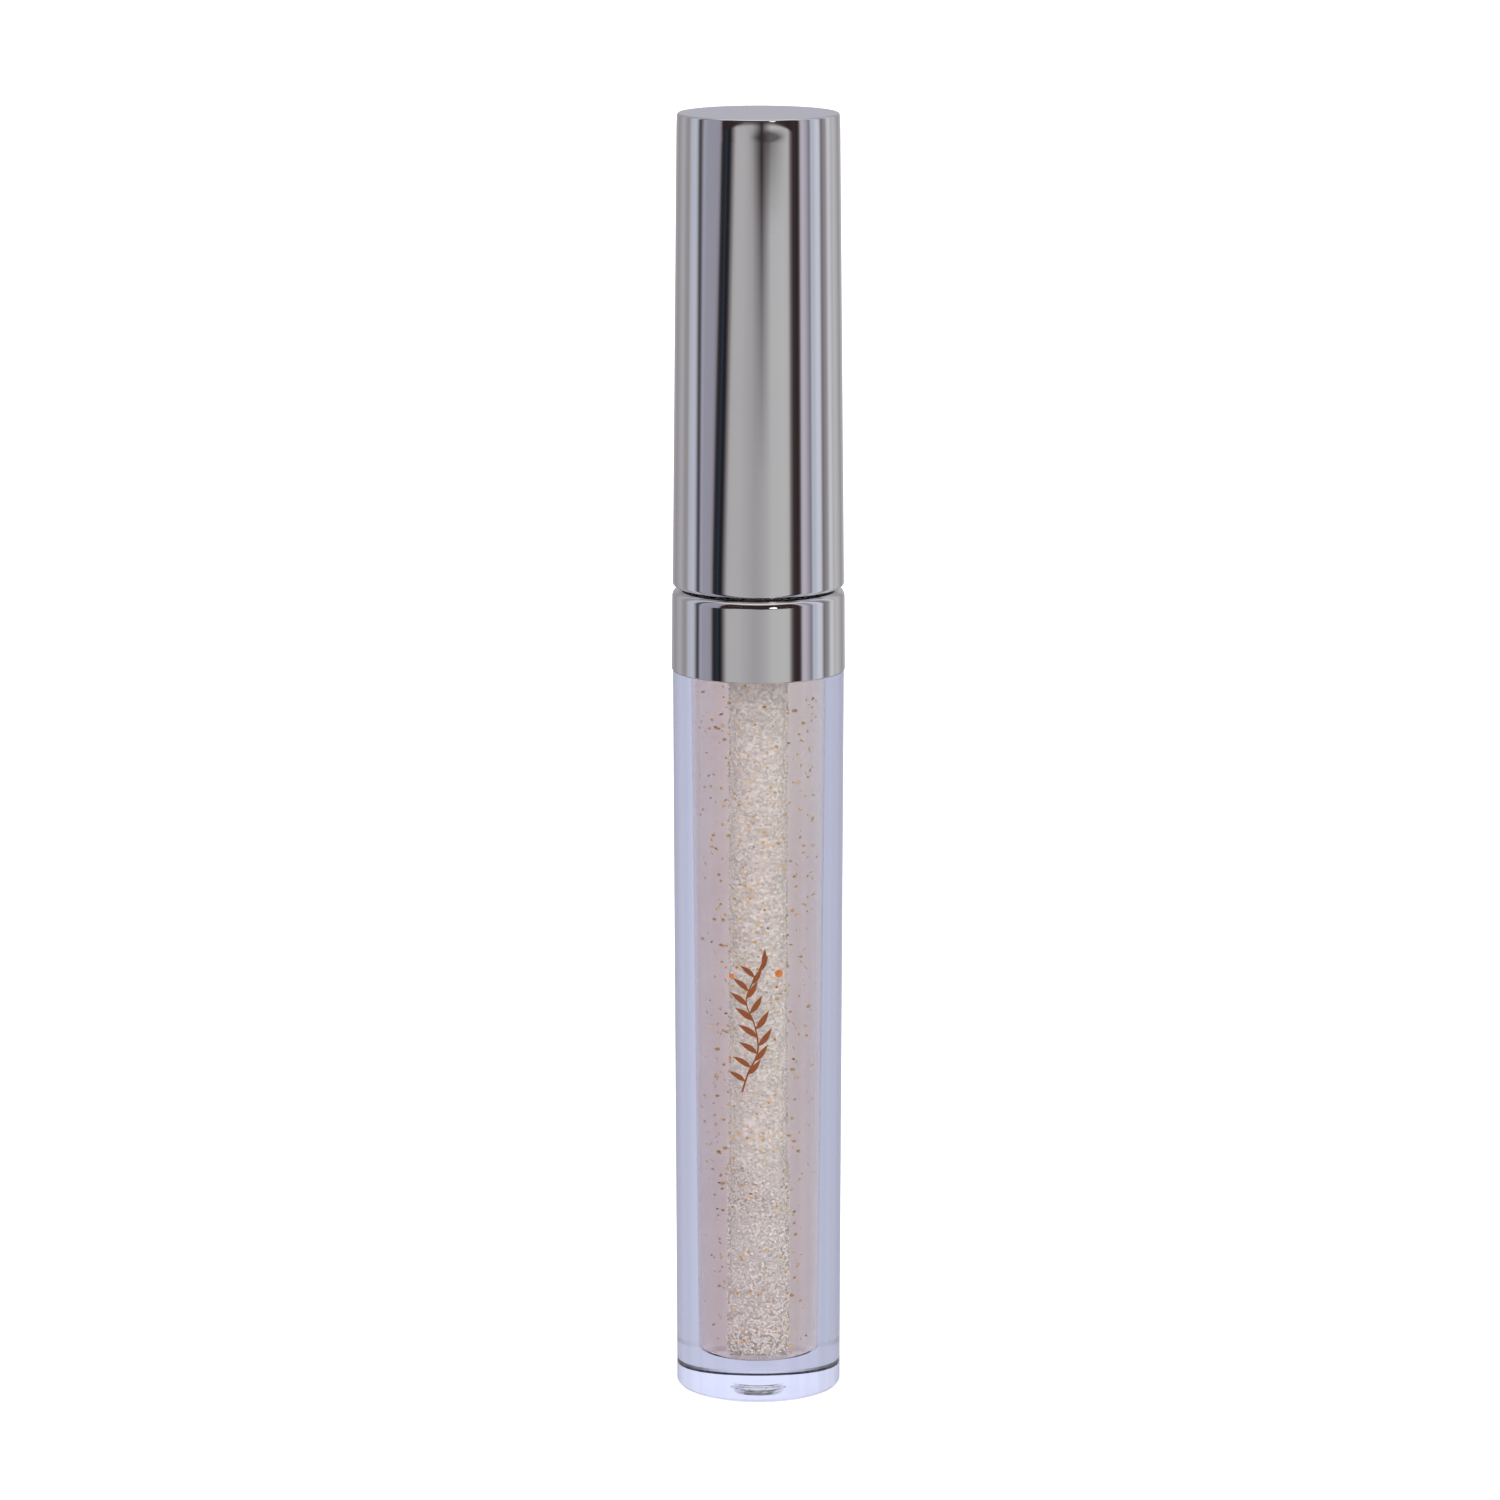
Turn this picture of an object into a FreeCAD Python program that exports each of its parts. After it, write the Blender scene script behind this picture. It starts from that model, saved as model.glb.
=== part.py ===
import FreeCAD, Part
import os
import Sketcher

# A lip gloss tube: a thick clear bottle with a metallised collar, and a metallised screw cap
# that carries a wand. +Z is up and the origin is the centre of the standing face.
# Lengths are in millimetres and angles in degrees.
SIZES = [
    # bottle
    ("tube_diameter", 16.2, "outside of the bottle just under the collar"),
    ("bottle_draft", 0.25, "radius lost from there down to the standing face"),
    ("shoulder_height", 69.96, "standing face to the ledge that the collar sits on"),
    ("base_edge_round", 0.6, "round between the standing face and the wall"),
    ("gate_diameter", 4.0, "moulding gate recess under the base"),
    ("gate_depth", 0.5, "depth of the gate recess"),
    ("gate_edge_round", 0.15, "round at the mouth of the gate recess"),
    ("floor_thickness", 3.3, "clear plastic under the chamber"),
    ("chamber_draft", 0.5, "radius lost from the neck bore down to the chamber floor"),
    ("chamber_floor_round", 0.5, "round at the foot of the chamber"),
    ("ledge_width", 0.8, "ledge round the plug that the collar is pressed over"),
    ("plug_height", 6.4, "ledge to the top of the plug"),
    ("neck_wall", 1.15, "neck wall between the thread turns"),
    ("rim_land", 1.13, "plain neck between the end of the thread and the rim"),
    # screw thread
    ("thread_lead", 3.0, "rise for one turn of the cap"),
    ("thread_turns", 1.5, "turns on the neck and in the cap"),
    ("thread_depth", 0.7, "height of the ridge on the neck"),
    ("cap_thread_depth", 0.6, "height of the ridge in the cap"),
    ("thread_root_width", 1.3, "ridge width where it leaves the wall"),
    ("thread_crest_width", 0.5, "ridge width at its crest"),
    ("thread_clearance", 0.1, "radial gap between the two crests"),
    ("thread_overlap", 0.1, "how far a ridge is sunk into its wall"),
    ("cap_thread_lift", 0.1, "ridge in the cap above the middle of the neck's groove"),
    ("cap_thread_land", 0.25, "skirt edge to the start of the ridge in the cap"),
    # collar
    ("collar_overhang", 0.1, "collar's lower edge proud of the bottle"),
    ("collar_draft", 0.05, "radius lost up the collar"),
    ("collar_flange_thickness", 1.36, "flange over the plug"),
    ("collar_edge_round", 0.8, "round on the collar's top edge"),
    ("collar_fit", 0.02, "radial gap between the collar and the plug"),
    ("collar_thread_clearance", 0.15, "radial gap as the collar passes the neck thread"),
    # wiper
    ("wiper_flange_thickness", 0.6, "flange on the neck rim"),
    ("wiper_flange_inset", 0.2, "flange edge in from the neck wall"),
    ("wiper_sleeve_length", 6.5, "rim to the end of the straight sleeve"),
    ("wiper_cone_height", 2.0, "cone below the sleeve"),
    ("wiper_wall", 0.6, "sleeve wall"),
    ("wiper_lip_wall", 0.35, "wall of the lip round the orifice"),
    ("wiper_lip_length", 0.5, "straight part of the orifice"),
    ("wiper_fit", 0.02, "radial gap between the sleeve and the neck bore"),
    ("wiper_clearance", 0.15, "radial gap between the orifice and the wand"),
    # gloss
    ("gloss_headspace", 1.3, "gap between the gloss and the wiper"),
    ("gloss_fit", 0.02, "radial gap between the gloss and the chamber wall"),
    ("gloss_wand_clearance", 0.2, "gap between the gloss and the wand"),
    # cap shell
    ("cap_seam", 0.2, "gap between the collar and the cap shell"),
    ("cap_height", 44.55, "height of the cap shell"),
    ("cap_setback", 0.055, "cap's lower edge in from the collar's top"),
    ("cap_draft", 0.47, "radius lost up the cap"),
    ("cap_wall", 0.85, "wall of the shell round the inner cap"),
    ("cap_stop_step", 0.5, "step that the inner cap is pressed up to"),
    ("cap_roof_thickness", 1.2, "top of the shell"),
    ("cap_top_round", 0.4, "round on the top edge"),
    ("cap_bottom_round", 0.35, "round on the lower edge"),
    # inner cap
    ("skirt_recess", 0.3, "skirt edge above the shell's lower edge"),
    ("inner_cap_wall", 0.5, "wall behind the thread, at the disc"),
    ("inner_cap_fit", 0.02, "radial gap between the inner cap and the shell"),
    ("disc_thickness", 1.2, "disc over the gasket"),
    ("boss_wall", 1.75, "wall of the boss round the wand's pin"),
    ("boss_height", 5.0, "boss above the disc"),
    # gasket
    ("gasket_thickness", 0.8, "washer between the wiper flange and the inner cap"),
    ("gasket_inset", 0.1, "washer edge in from the neck wall"),
    ("gasket_wand_clearance", 0.4, "radial gap between the washer and the stem"),
    # wand
    ("stem_diameter", 3.5, "wand stem"),
    ("pin_step", 0.3, "shoulder where the stem thins to its pin"),
    ("pin_fit", 0.05, "radial gap between the pin and the boss"),
    ("pin_end_play", 0.05, "gap below the disc and above the boss"),
    ("barb_lip", 0.4, "snap head proud of the pin"),
    ("barb_taper", 0.7, "radius lost up the snap head"),
    ("barb_height", 1.2, "height of the snap head"),
    ("socket_wall", 0.6, "stem wall round the applicator's root"),
    ("socket_depth", 4.8, "depth of the socket for the root"),
    # applicator
    ("tip_clearance", 0.8, "chamber floor to the end of the applicator"),
    ("applicator_length", 13.0, "end of the applicator to the stem"),
    ("core_diameter", 3.1, "soft core under the flock"),
    ("core_end_round", 1.1, "round at the end of the core"),
    ("root_fit", 0.02, "radial gap between the root and the stem"),
    ("root_end_gap", 0.3, "gap above the root in its socket"),
    ("flock_thickness", 0.3, "fibre pile on the core"),
    ("slant_angle", 14.0, "slanted face of the applicator, from the axis"),
    ("slant_reach", 0.7, "slanted face past the axis at the end of the core"),
    ("cut_margin", 1.0, "how far the slanted cut runs past the core"),
]

# Heights and radii that follow from the sizes. Each may use the ones above it.
PLACES = [
    # heights, up from the standing face
    ("plug_top", "sizes.shoulder_height + sizes.plug_height"),
    ("collar_top", "places.plug_top + sizes.collar_flange_thickness"),
    ("cap_bottom", "places.collar_top + sizes.cap_seam"),
    ("cap_top", "places.cap_bottom + sizes.cap_height"),
    ("cap_roof", "places.cap_top - sizes.cap_roof_thickness"),
    ("skirt_end", "places.cap_bottom + sizes.skirt_recess"),
    ("cap_ridge", "places.skirt_end + sizes.cap_thread_land + sizes.thread_root_width / 2"),
    ("neck_ridge", "places.cap_ridge + sizes.thread_lead / 2 - sizes.cap_thread_lift"),
    ("thread_height", "sizes.thread_lead * sizes.thread_turns"),
    ("neck_ridge_end", "places.neck_ridge + places.thread_height + sizes.thread_root_width / 2"),
    ("rim", "places.neck_ridge_end + sizes.rim_land"),
    ("wiper_top", "places.rim + sizes.wiper_flange_thickness"),
    ("sleeve_end", "places.rim - sizes.wiper_sleeve_length"),
    ("wiper_end", "places.sleeve_end - sizes.wiper_cone_height"),
    ("gloss_level", "places.wiper_end - sizes.gloss_headspace"),
    ("gasket_top", "places.wiper_top + sizes.gasket_thickness"),
    ("disc_top", "places.gasket_top + sizes.disc_thickness"),
    ("boss_top", "places.disc_top + sizes.boss_height"),
    ("stem_top", "places.gasket_top - sizes.pin_end_play"),
    ("barb_bottom", "places.boss_top + sizes.pin_end_play"),
    ("barb_top", "places.barb_bottom + sizes.barb_height"),
    ("tip_end", "sizes.floor_thickness + sizes.tip_clearance"),
    ("core_end", "places.tip_end + sizes.flock_thickness"),
    ("stem_end", "places.tip_end + sizes.applicator_length"),
    ("socket_top", "places.stem_end + sizes.socket_depth"),
    ("root_top", "places.socket_top - sizes.root_end_gap"),
    ("channel_floor", "places.tip_end - sizes.gloss_wand_clearance"),
    # radii of the outside, from the bottle up to the cap
    ("shoulder", "sizes.tube_diameter / 2"),
    ("base", "places.shoulder - sizes.bottle_draft"),
    ("gate", "sizes.gate_diameter / 2"),
    ("plug", "places.shoulder - sizes.ledge_width"),
    ("collar_foot", "places.shoulder + sizes.collar_overhang"),
    ("collar_head", "places.collar_foot - sizes.collar_draft"),
    ("cap_foot", "places.collar_head - sizes.cap_setback"),
    ("cap_head", "places.cap_foot - sizes.cap_draft"),
    # radii inside the shell, at the skirt's edge, at the disc and under the roof
    ("shell_slope", "sizes.cap_draft / sizes.cap_height"),
    ("shell_foot_bore", "places.cap_foot - sizes.cap_wall"),
    ("shell_skirt_bore",
     "places.shell_foot_bore - places.shell_slope * sizes.skirt_recess"),
    ("shell_disc_bore",
     "places.shell_foot_bore - places.shell_slope * (places.disc_top - places.cap_bottom)"),
    ("shell_step_bore", "places.shell_disc_bore - sizes.cap_stop_step"),
    ("shell_roof_bore",
     "places.shell_step_bore - places.shell_slope * (places.cap_roof - places.disc_top)"),
    # radii of the inner cap, thread and neck, from the shell inwards
    ("skirt", "places.shell_skirt_bore - sizes.inner_cap_fit"),
    ("disc", "places.shell_disc_bore - sizes.inner_cap_fit"),
    ("cap_root", "places.disc - sizes.inner_cap_wall"),
    ("cap_crest", "places.cap_root - sizes.cap_thread_depth"),
    ("neck_crest", "places.cap_crest - sizes.thread_clearance"),
    ("neck", "places.neck_crest - sizes.thread_depth"),
    ("neck_bore", "places.neck - sizes.neck_wall"),
    ("chamber_floor", "places.neck_bore - sizes.chamber_draft"),
    ("collar_bore", "places.plug + sizes.collar_fit"),
    ("collar_mouth", "places.neck_crest + sizes.collar_thread_clearance"),
    # radii of the wand and of what it passes through
    ("stem", "sizes.stem_diameter / 2"),
    ("pin", "places.stem - sizes.pin_step"),
    ("barb", "places.pin + sizes.barb_lip"),
    ("barb_tip", "places.barb - sizes.barb_taper"),
    ("socket", "places.stem - sizes.socket_wall"),
    ("root", "places.socket - sizes.root_fit"),
    ("core", "sizes.core_diameter / 2"),
    ("flock", "places.core + sizes.flock_thickness"),
    ("wand", "max(places.stem; places.flock)"),
    ("orifice", "places.wand + sizes.wiper_clearance"),
    ("lip", "places.orifice + sizes.wiper_lip_wall"),
    ("sleeve", "places.neck_bore - sizes.wiper_fit"),
    ("sleeve_bore", "places.sleeve - sizes.wiper_wall"),
    ("wiper_flange", "places.neck - sizes.wiper_flange_inset"),
    ("gasket", "places.neck - sizes.gasket_inset"),
    ("gasket_hole", "places.stem + sizes.gasket_wand_clearance"),
    ("boss_bore", "places.pin + sizes.pin_fit"),
    ("boss", "places.boss_bore + sizes.boss_wall"),
    ("channel", "places.wand + sizes.gloss_wand_clearance"),
    ("gloss_foot", "places.chamber_floor - sizes.gloss_fit"),
    ("chamber_slope", "sizes.chamber_draft / (places.plug_top - sizes.floor_thickness)"),
    ("chamber_at_level", "places.chamber_floor"
     " + places.chamber_slope * (places.gloss_level - sizes.floor_thickness)"),
    ("gloss_top", "min(places.chamber_at_level; places.neck_bore) - sizes.gloss_fit"),
    # slanted face of the applicator, in the plane that the axis lies in
    ("slant_rise", "1 / tan(sizes.slant_angle)"),
    ("flock_slant_reach", "sizes.slant_reach - sizes.flock_thickness / cos(sizes.slant_angle)"
     " + sizes.flock_thickness / places.slant_rise"),
]

# Two edges this near each other are one edge, in millimetres.
SAME_PLACE = 1e-4


def fill_sheet(document):
    sheet = document.addObject("Spreadsheet::Sheet", "sizes")
    for row, (name, value, note) in enumerate(SIZES, start=1):
        sheet.set(f"A{row}", name)
        sheet.set(f"B{row}", str(value))
        sheet.setAlias(f"B{row}", name)
        sheet.set(f"C{row}", note)
    document.recompute()


def fill_places(document):
    places = document.addObject("App::VarSet", "places")
    for name, expression in PLACES:
        places.addProperty("App::PropertyFloat", name, "Places")
        places.setExpression(name, expression)
    document.recompute()


def value_of(document, expression):
    return float(document.getObject("sizes").evalExpression(expression))


def new_body(document, label):
    body = document.addObject("PartDesign::Body", label)
    body.Label = label
    return body


def draw_outline(body, name, plane_role, corners):
    """A closed outline of straight lines, each corner bound across and up."""
    document = body.Document
    plane = next(item for item in body.Origin.OriginFeatures if item.Role == plane_role)
    sketch = body.newObject("Sketcher::SketchObject", name)
    sketch.AttachmentSupport = [(plane, "")]
    sketch.MapMode = "FlatFace"
    spots = [[value_of(document, bound) for bound in corner] for corner in corners]
    for start, end in zip(spots, spots[1:] + spots[:1]):
        line = Part.LineSegment(FreeCAD.Vector(*start, 0), FreeCAD.Vector(*end, 0))
        sketch.addGeometry(line, False)
    for number in range(len(corners)):
        following = (number + 1) % len(corners)
        sketch.addConstraint(Sketcher.Constraint("Coincident", number, 2, following, 1))
    for number, (spot, corner) in enumerate(zip(spots, corners)):
        for direction, value, bound in zip(("DistanceX", "DistanceY"), spot, corner):
            constraint = sketch.addConstraint(
                Sketcher.Constraint(direction, -1, 1, number, 1, value))
            sketch.setExpression(f"Constraints[{constraint}]", bound)
    return sketch


def revolve(body, name, corners):
    """A solid turned about Z from half an outline, whose corners are (radius, height)."""
    sketch = draw_outline(body, name + "_outline", "XZ_Plane", corners)
    turned = body.newObject("PartDesign::Revolution", name)
    turned.Profile = sketch
    turned.ReferenceAxis = (sketch, ["V_Axis"])
    turned.Angle = 360
    body.Document.recompute()
    return turned


def round_edge(body, name, radius, height, amount):
    """A fillet on the circular edge at a radius and a height."""
    document = body.Document
    base = body.Tip
    at_radius = value_of(document, radius)
    at_height = value_of(document, height)
    names = []
    for number, edge in enumerate(base.Shape.Edges, start=1):
        if isinstance(edge.Curve, Part.Circle):
            near_radius = abs(edge.Curve.Radius - at_radius) < SAME_PLACE
            near_height = abs(edge.Curve.Center.z - at_height) < SAME_PLACE
            if near_radius and near_height:
                names.append(f"Edge{number}")
    if not names:
        raise ValueError(f"{body.Label} has no edge for {name}")
    fillet = body.newObject("PartDesign::Fillet", name)
    fillet.Base = (base, names)
    fillet.setExpression("Radius", amount)
    document.recompute()
    return fillet


def add_thread(body, name, sunk, crest, middle):
    """A right-hand ridge from a radius sunk in its wall to its crest, wound up from a height."""
    sketch = draw_outline(body, name + "_ridge", "XZ_Plane", [
        (sunk, f"{middle} - sizes.thread_root_width / 2"),
        (crest, f"{middle} - sizes.thread_crest_width / 2"),
        (crest, f"{middle} + sizes.thread_crest_width / 2"),
        (sunk, f"{middle} + sizes.thread_root_width / 2"),
    ])
    before = body.Tip.Shape.Volume
    ridge = body.newObject("PartDesign::AdditiveHelix", name)
    ridge.Profile = sketch
    ridge.ReferenceAxis = (sketch, ["V_Axis"])
    ridge.setExpression("Pitch", "sizes.thread_lead")
    ridge.setExpression("Height", "places.thread_height")
    body.Document.recompute()
    if ridge.Shape.Volume <= before:
        raise ValueError(f"{name} adds nothing to {body.Label}")
    return ridge


def cut_slant(body, name, end, radius, reach):
    """Slices the applicator's front off along a plane that leans away from the axis."""
    low = f"{end} - sizes.cut_margin"
    far = f"0 - {radius} - sizes.cut_margin"
    before = body.Tip.Shape.Volume
    sketch = draw_outline(body, name + "_outline", "YZ_Plane", [
        (f"{reach} + sizes.cut_margin / places.slant_rise", low),
        (far, f"{end} + ({reach} + {radius} + sizes.cut_margin) * places.slant_rise"),
        (far, low),
    ])
    cut = body.newObject("PartDesign::Pocket", name)
    cut.Profile = sketch
    cut.Type = "ThroughAll"
    cut.SideType = "Symmetric"
    body.Document.recompute()
    if cut.Shape.Volume >= before:
        raise ValueError(f"{name} takes nothing off {body.Label}")
    return cut


def make_bottle(document):
    """Thick clear bottle: tapered outside, round chamber, collar plug and threaded neck."""
    body = new_body(document, "bottle")
    revolve(body, "bottle_wall", [
        ("0", "sizes.gate_depth"),
        ("places.gate", "sizes.gate_depth"),
        ("places.gate", "0"),
        ("places.base", "0"),
        ("places.shoulder", "sizes.shoulder_height"),
        ("places.plug", "sizes.shoulder_height"),
        ("places.plug", "places.plug_top"),
        ("places.neck", "places.plug_top"),
        ("places.neck", "places.rim"),
        ("places.neck_bore", "places.rim"),
        ("places.neck_bore", "places.plug_top"),
        ("places.chamber_floor", "sizes.floor_thickness"),
        ("0", "sizes.floor_thickness"),
    ])
    round_edge(body, "base_round", "places.base", "0", "sizes.base_edge_round")
    round_edge(body, "gate_round", "places.gate", "0", "sizes.gate_edge_round")
    round_edge(body, "chamber_round", "places.chamber_floor", "sizes.floor_thickness",
               "sizes.chamber_floor_round")
    add_thread(body, "neck_thread", "places.neck - sizes.thread_overlap", "places.neck_crest",
               "places.neck_ridge")
    return body


def make_collar(document):
    """Metallised sleeve over the plug, with a flange that the neck passes through."""
    body = new_body(document, "collar")
    revolve(body, "collar_sleeve", [
        ("places.collar_bore", "sizes.shoulder_height"),
        ("places.collar_foot", "sizes.shoulder_height"),
        ("places.collar_head", "places.collar_top"),
        ("places.collar_mouth", "places.collar_top"),
        ("places.collar_mouth", "places.plug_top"),
        ("places.collar_bore", "places.plug_top"),
    ])
    round_edge(body, "collar_top_round", "places.collar_head", "places.collar_top",
               "sizes.collar_edge_round")
    return body


def make_wiper(document):
    """Soft plug in the neck, whose cone strips the applicator as it is drawn out."""
    body = new_body(document, "wiper")
    revolve(body, "wiper_sleeve", [
        ("places.sleeve_bore", "places.wiper_top"),
        ("places.wiper_flange", "places.wiper_top"),
        ("places.wiper_flange", "places.rim"),
        ("places.sleeve", "places.rim"),
        ("places.sleeve", "places.sleeve_end"),
        ("places.lip", "places.wiper_end"),
        ("places.orifice", "places.wiper_end"),
        ("places.orifice", "places.wiper_end + sizes.wiper_lip_length"),
        ("places.sleeve_bore", "places.sleeve_end"),
    ])
    return body


def make_gloss_fill(document):
    """The gloss in the chamber, with a channel down its middle for the wand."""
    body = new_body(document, "gloss_fill")
    revolve(body, "gloss_column", [
        ("0", "sizes.floor_thickness"),
        ("places.gloss_foot", "sizes.floor_thickness"),
        ("places.gloss_top", "places.gloss_level"),
        ("places.channel", "places.gloss_level"),
        ("places.channel", "places.channel_floor"),
        ("0", "places.channel_floor"),
    ])
    round_edge(body, "gloss_foot_round", "places.gloss_foot", "sizes.floor_thickness",
               "sizes.chamber_floor_round")
    return body


def make_cap_shell(document):
    """Metallised outer cap, closed at the top and stepped inside."""
    body = new_body(document, "cap_shell")
    revolve(body, "shell_wall", [
        ("places.shell_foot_bore", "places.cap_bottom"),
        ("places.cap_foot", "places.cap_bottom"),
        ("places.cap_head", "places.cap_top"),
        ("0", "places.cap_top"),
        ("0", "places.cap_roof"),
        ("places.shell_roof_bore", "places.cap_roof"),
        ("places.shell_step_bore", "places.disc_top"),
        ("places.shell_disc_bore", "places.disc_top"),
    ])
    round_edge(body, "shell_top_round", "places.cap_head", "places.cap_top",
               "sizes.cap_top_round")
    round_edge(body, "shell_bottom_round", "places.cap_foot", "places.cap_bottom",
               "sizes.cap_bottom_round")
    return body


def make_inner_cap(document):
    """Threaded cap pressed into the shell up to its step, with a boss for the wand's pin."""
    body = new_body(document, "inner_cap")
    revolve(body, "inner_cap_wall", [
        ("places.cap_root", "places.skirt_end"),
        ("places.skirt", "places.skirt_end"),
        ("places.disc", "places.disc_top"),
        ("places.boss", "places.disc_top"),
        ("places.boss", "places.boss_top"),
        ("places.boss_bore", "places.boss_top"),
        ("places.boss_bore", "places.gasket_top"),
        ("places.cap_root", "places.gasket_top"),
    ])
    add_thread(body, "cap_thread", "places.cap_root + sizes.thread_overlap", "places.cap_crest",
               "places.cap_ridge")
    return body


def make_cap_gasket(document):
    """Flat washer that seals the inner cap on the wiper's flange."""
    body = new_body(document, "cap_gasket")
    revolve(body, "gasket_ring", [
        ("places.gasket_hole", "places.wiper_top"),
        ("places.gasket", "places.wiper_top"),
        ("places.gasket", "places.gasket_top"),
        ("places.gasket_hole", "places.gasket_top"),
    ])
    return body


def make_wand_stem(document):
    """Rod with a snap pin at the top and a socket for the applicator at the bottom."""
    body = new_body(document, "wand_stem")
    revolve(body, "stem_rod", [
        ("0", "places.socket_top"),
        ("places.socket", "places.socket_top"),
        ("places.socket", "places.stem_end"),
        ("places.stem", "places.stem_end"),
        ("places.stem", "places.stem_top"),
        ("places.pin", "places.stem_top"),
        ("places.pin", "places.barb_bottom"),
        ("places.barb", "places.barb_bottom"),
        ("places.barb_tip", "places.barb_top"),
        ("0", "places.barb_top"),
    ])
    return body


def make_applicator_core(document):
    """Soft tip under the flock, with a root that is pressed into the stem."""
    body = new_body(document, "applicator_core")
    revolve(body, "core_rod", [
        ("0", "places.core_end"),
        ("places.core", "places.core_end"),
        ("places.core", "places.stem_end"),
        ("places.root", "places.stem_end"),
        ("places.root", "places.root_top"),
        ("0", "places.root_top"),
    ])
    round_edge(body, "core_end_fillet", "places.core", "places.core_end",
               "sizes.core_end_round")
    cut_slant(body, "core_slant", "places.core_end", "places.core", "sizes.slant_reach")
    return body


def make_applicator_flock(document, core):
    """The fibre pile: one thickness all round the core, with the core taken out of it."""
    pile = new_body(document, "flock_block")
    revolve(pile, "flock_rod", [
        ("0", "places.tip_end"),
        ("places.flock", "places.tip_end"),
        ("places.flock", "places.stem_end"),
        ("0", "places.stem_end"),
    ])
    round_edge(pile, "flock_end_fillet", "places.flock", "places.tip_end",
               "sizes.core_end_round + sizes.flock_thickness")
    cut_slant(pile, "flock_slant", "places.tip_end", "places.flock", "places.flock_slant_reach")
    flock = document.addObject("Part::Cut", "applicator_flock")
    flock.Base = pile
    flock.Tool = core
    flock.Label = "applicator_flock"
    document.recompute()
    return flock


def make_parts(document):
    core = make_applicator_core(document)
    return [
        make_bottle(document),
        make_collar(document),
        make_wiper(document),
        make_gloss_fill(document),
        make_cap_shell(document),
        make_inner_cap(document),
        make_cap_gasket(document),
        make_wand_stem(document),
        core,
        make_applicator_flock(document, core),
    ]


def check_document(document, parts):
    for item in document.Objects:
        if "Invalid" in item.State or "Error" in item.State:
            raise ValueError(f"{item.Label} failed: {item.State}")
    for part in parts:
        if part.Shape.isNull() or not part.Shape.isValid():
            raise ValueError(f"{part.Label} has no valid shape")
        if len(part.Shape.Solids) != 1:
            raise ValueError(f"{part.Label} is not one solid")


def main():
    document = FreeCAD.newDocument("lip_gloss_tube")
    fill_sheet(document)
    fill_places(document)
    parts = make_parts(document)
    document.recompute()
    check_document(document, parts)
    os.makedirs("parts", exist_ok=True)
    for part in parts:
        part.Shape.exportStep(f"parts/{part.Label}.step")
        print(part.Label, round(part.Shape.Volume, 1), "mm3")


main()
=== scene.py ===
import math

import bpy
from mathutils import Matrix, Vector


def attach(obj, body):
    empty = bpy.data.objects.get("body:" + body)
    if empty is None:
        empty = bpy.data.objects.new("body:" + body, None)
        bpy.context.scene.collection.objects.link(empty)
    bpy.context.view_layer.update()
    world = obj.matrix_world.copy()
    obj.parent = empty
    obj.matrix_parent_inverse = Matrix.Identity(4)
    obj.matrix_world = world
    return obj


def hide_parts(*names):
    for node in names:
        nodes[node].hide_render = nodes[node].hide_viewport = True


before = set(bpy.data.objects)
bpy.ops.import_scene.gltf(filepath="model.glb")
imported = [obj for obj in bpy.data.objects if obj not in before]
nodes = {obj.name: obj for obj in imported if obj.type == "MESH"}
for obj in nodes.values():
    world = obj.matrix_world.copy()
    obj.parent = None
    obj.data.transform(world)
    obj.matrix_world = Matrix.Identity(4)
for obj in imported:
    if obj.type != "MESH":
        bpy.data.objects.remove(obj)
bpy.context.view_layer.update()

# Lengths are in millimetres and angles in degrees, but the camera and the floor are in metres, and
# the tilt of flakes and the lean of fibres are in radians.
mm = 0.001
perMetre = 1000.0

# the sRGB curve; then what counts as no turn or as on the axis, and how much of a run a round may take
curve = {"full": 255, "knee": 0.04045, "slope": 12.92, "offset": 0.055, "power": 2.4}
limits = {"flatTurn": 1e-4, "onAxis": 1e-7, "runShare": 0.49}


def linearColour(hexText):
    channels = [int(hexText[start:start + 2], 16) / curve["full"] for start in (1, 3, 5)]
    bent = [c / curve["slope"] if c <= curve["knee"]
            else ((c + curve["offset"]) / (1 + curve["offset"])) ** curve["power"] for c in channels]
    return (*bent, 1.0)


def addNode(tree, kind, inputs=None, **settings):
    node = tree.nodes.new(kind)
    for name, value in settings.items():
        setattr(node, name, value)
    for socket, value in (inputs or {}).items():
        if isinstance(value, bpy.types.NodeSocket):
            tree.links.new(value, node.inputs[socket])
        else:
            node.inputs[socket].default_value = value
    return node


def newMaterial(name, **values):
    material = bpy.data.materials.new(name)
    material.use_nodes = True
    tree = material.node_tree
    surface = tree.nodes["Principled BSDF"]
    for socket, value in values.items():
        surface.inputs[socket.replace("_", " ")].default_value = value
    return material, tree, surface


def placeInMillimetres(tree):
    # object coordinates are the part's own frame, so a pattern keeps its real size and its place
    where = addNode(tree, "ShaderNodeTexCoord")
    scaled = addNode(tree, "ShaderNodeVectorMath", {0: where.outputs["Object"], "Scale": perMetre},
                     operation="SCALE")
    return scaled.outputs["Vector"]


def noise(tree, place, size, detail=2.0):
    return addNode(tree, "ShaderNodeTexNoise", {
        "Vector": place, "Scale": 1 / size, "Detail": detail}).outputs["Fac"]


def randomCells(tree, place, size):
    cells = addNode(tree, "ShaderNodeTexVoronoi", {"Vector": place, "Scale": 1 / size}, feature="F1")
    parts = addNode(tree, "ShaderNodeSeparateColor", {"Color": cells.outputs["Color"]})
    return parts.outputs["Red"], parts.outputs["Green"], cells.outputs["Distance"]


def remap(tree, value, low, high, newLow=0.0, newHigh=1.0):
    node = addNode(tree, "ShaderNodeMapRange", {
        "Value": value, "From Min": low, "From Max": high, "To Min": newLow, "To Max": newHigh})
    return node.outputs["Result"]


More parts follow.
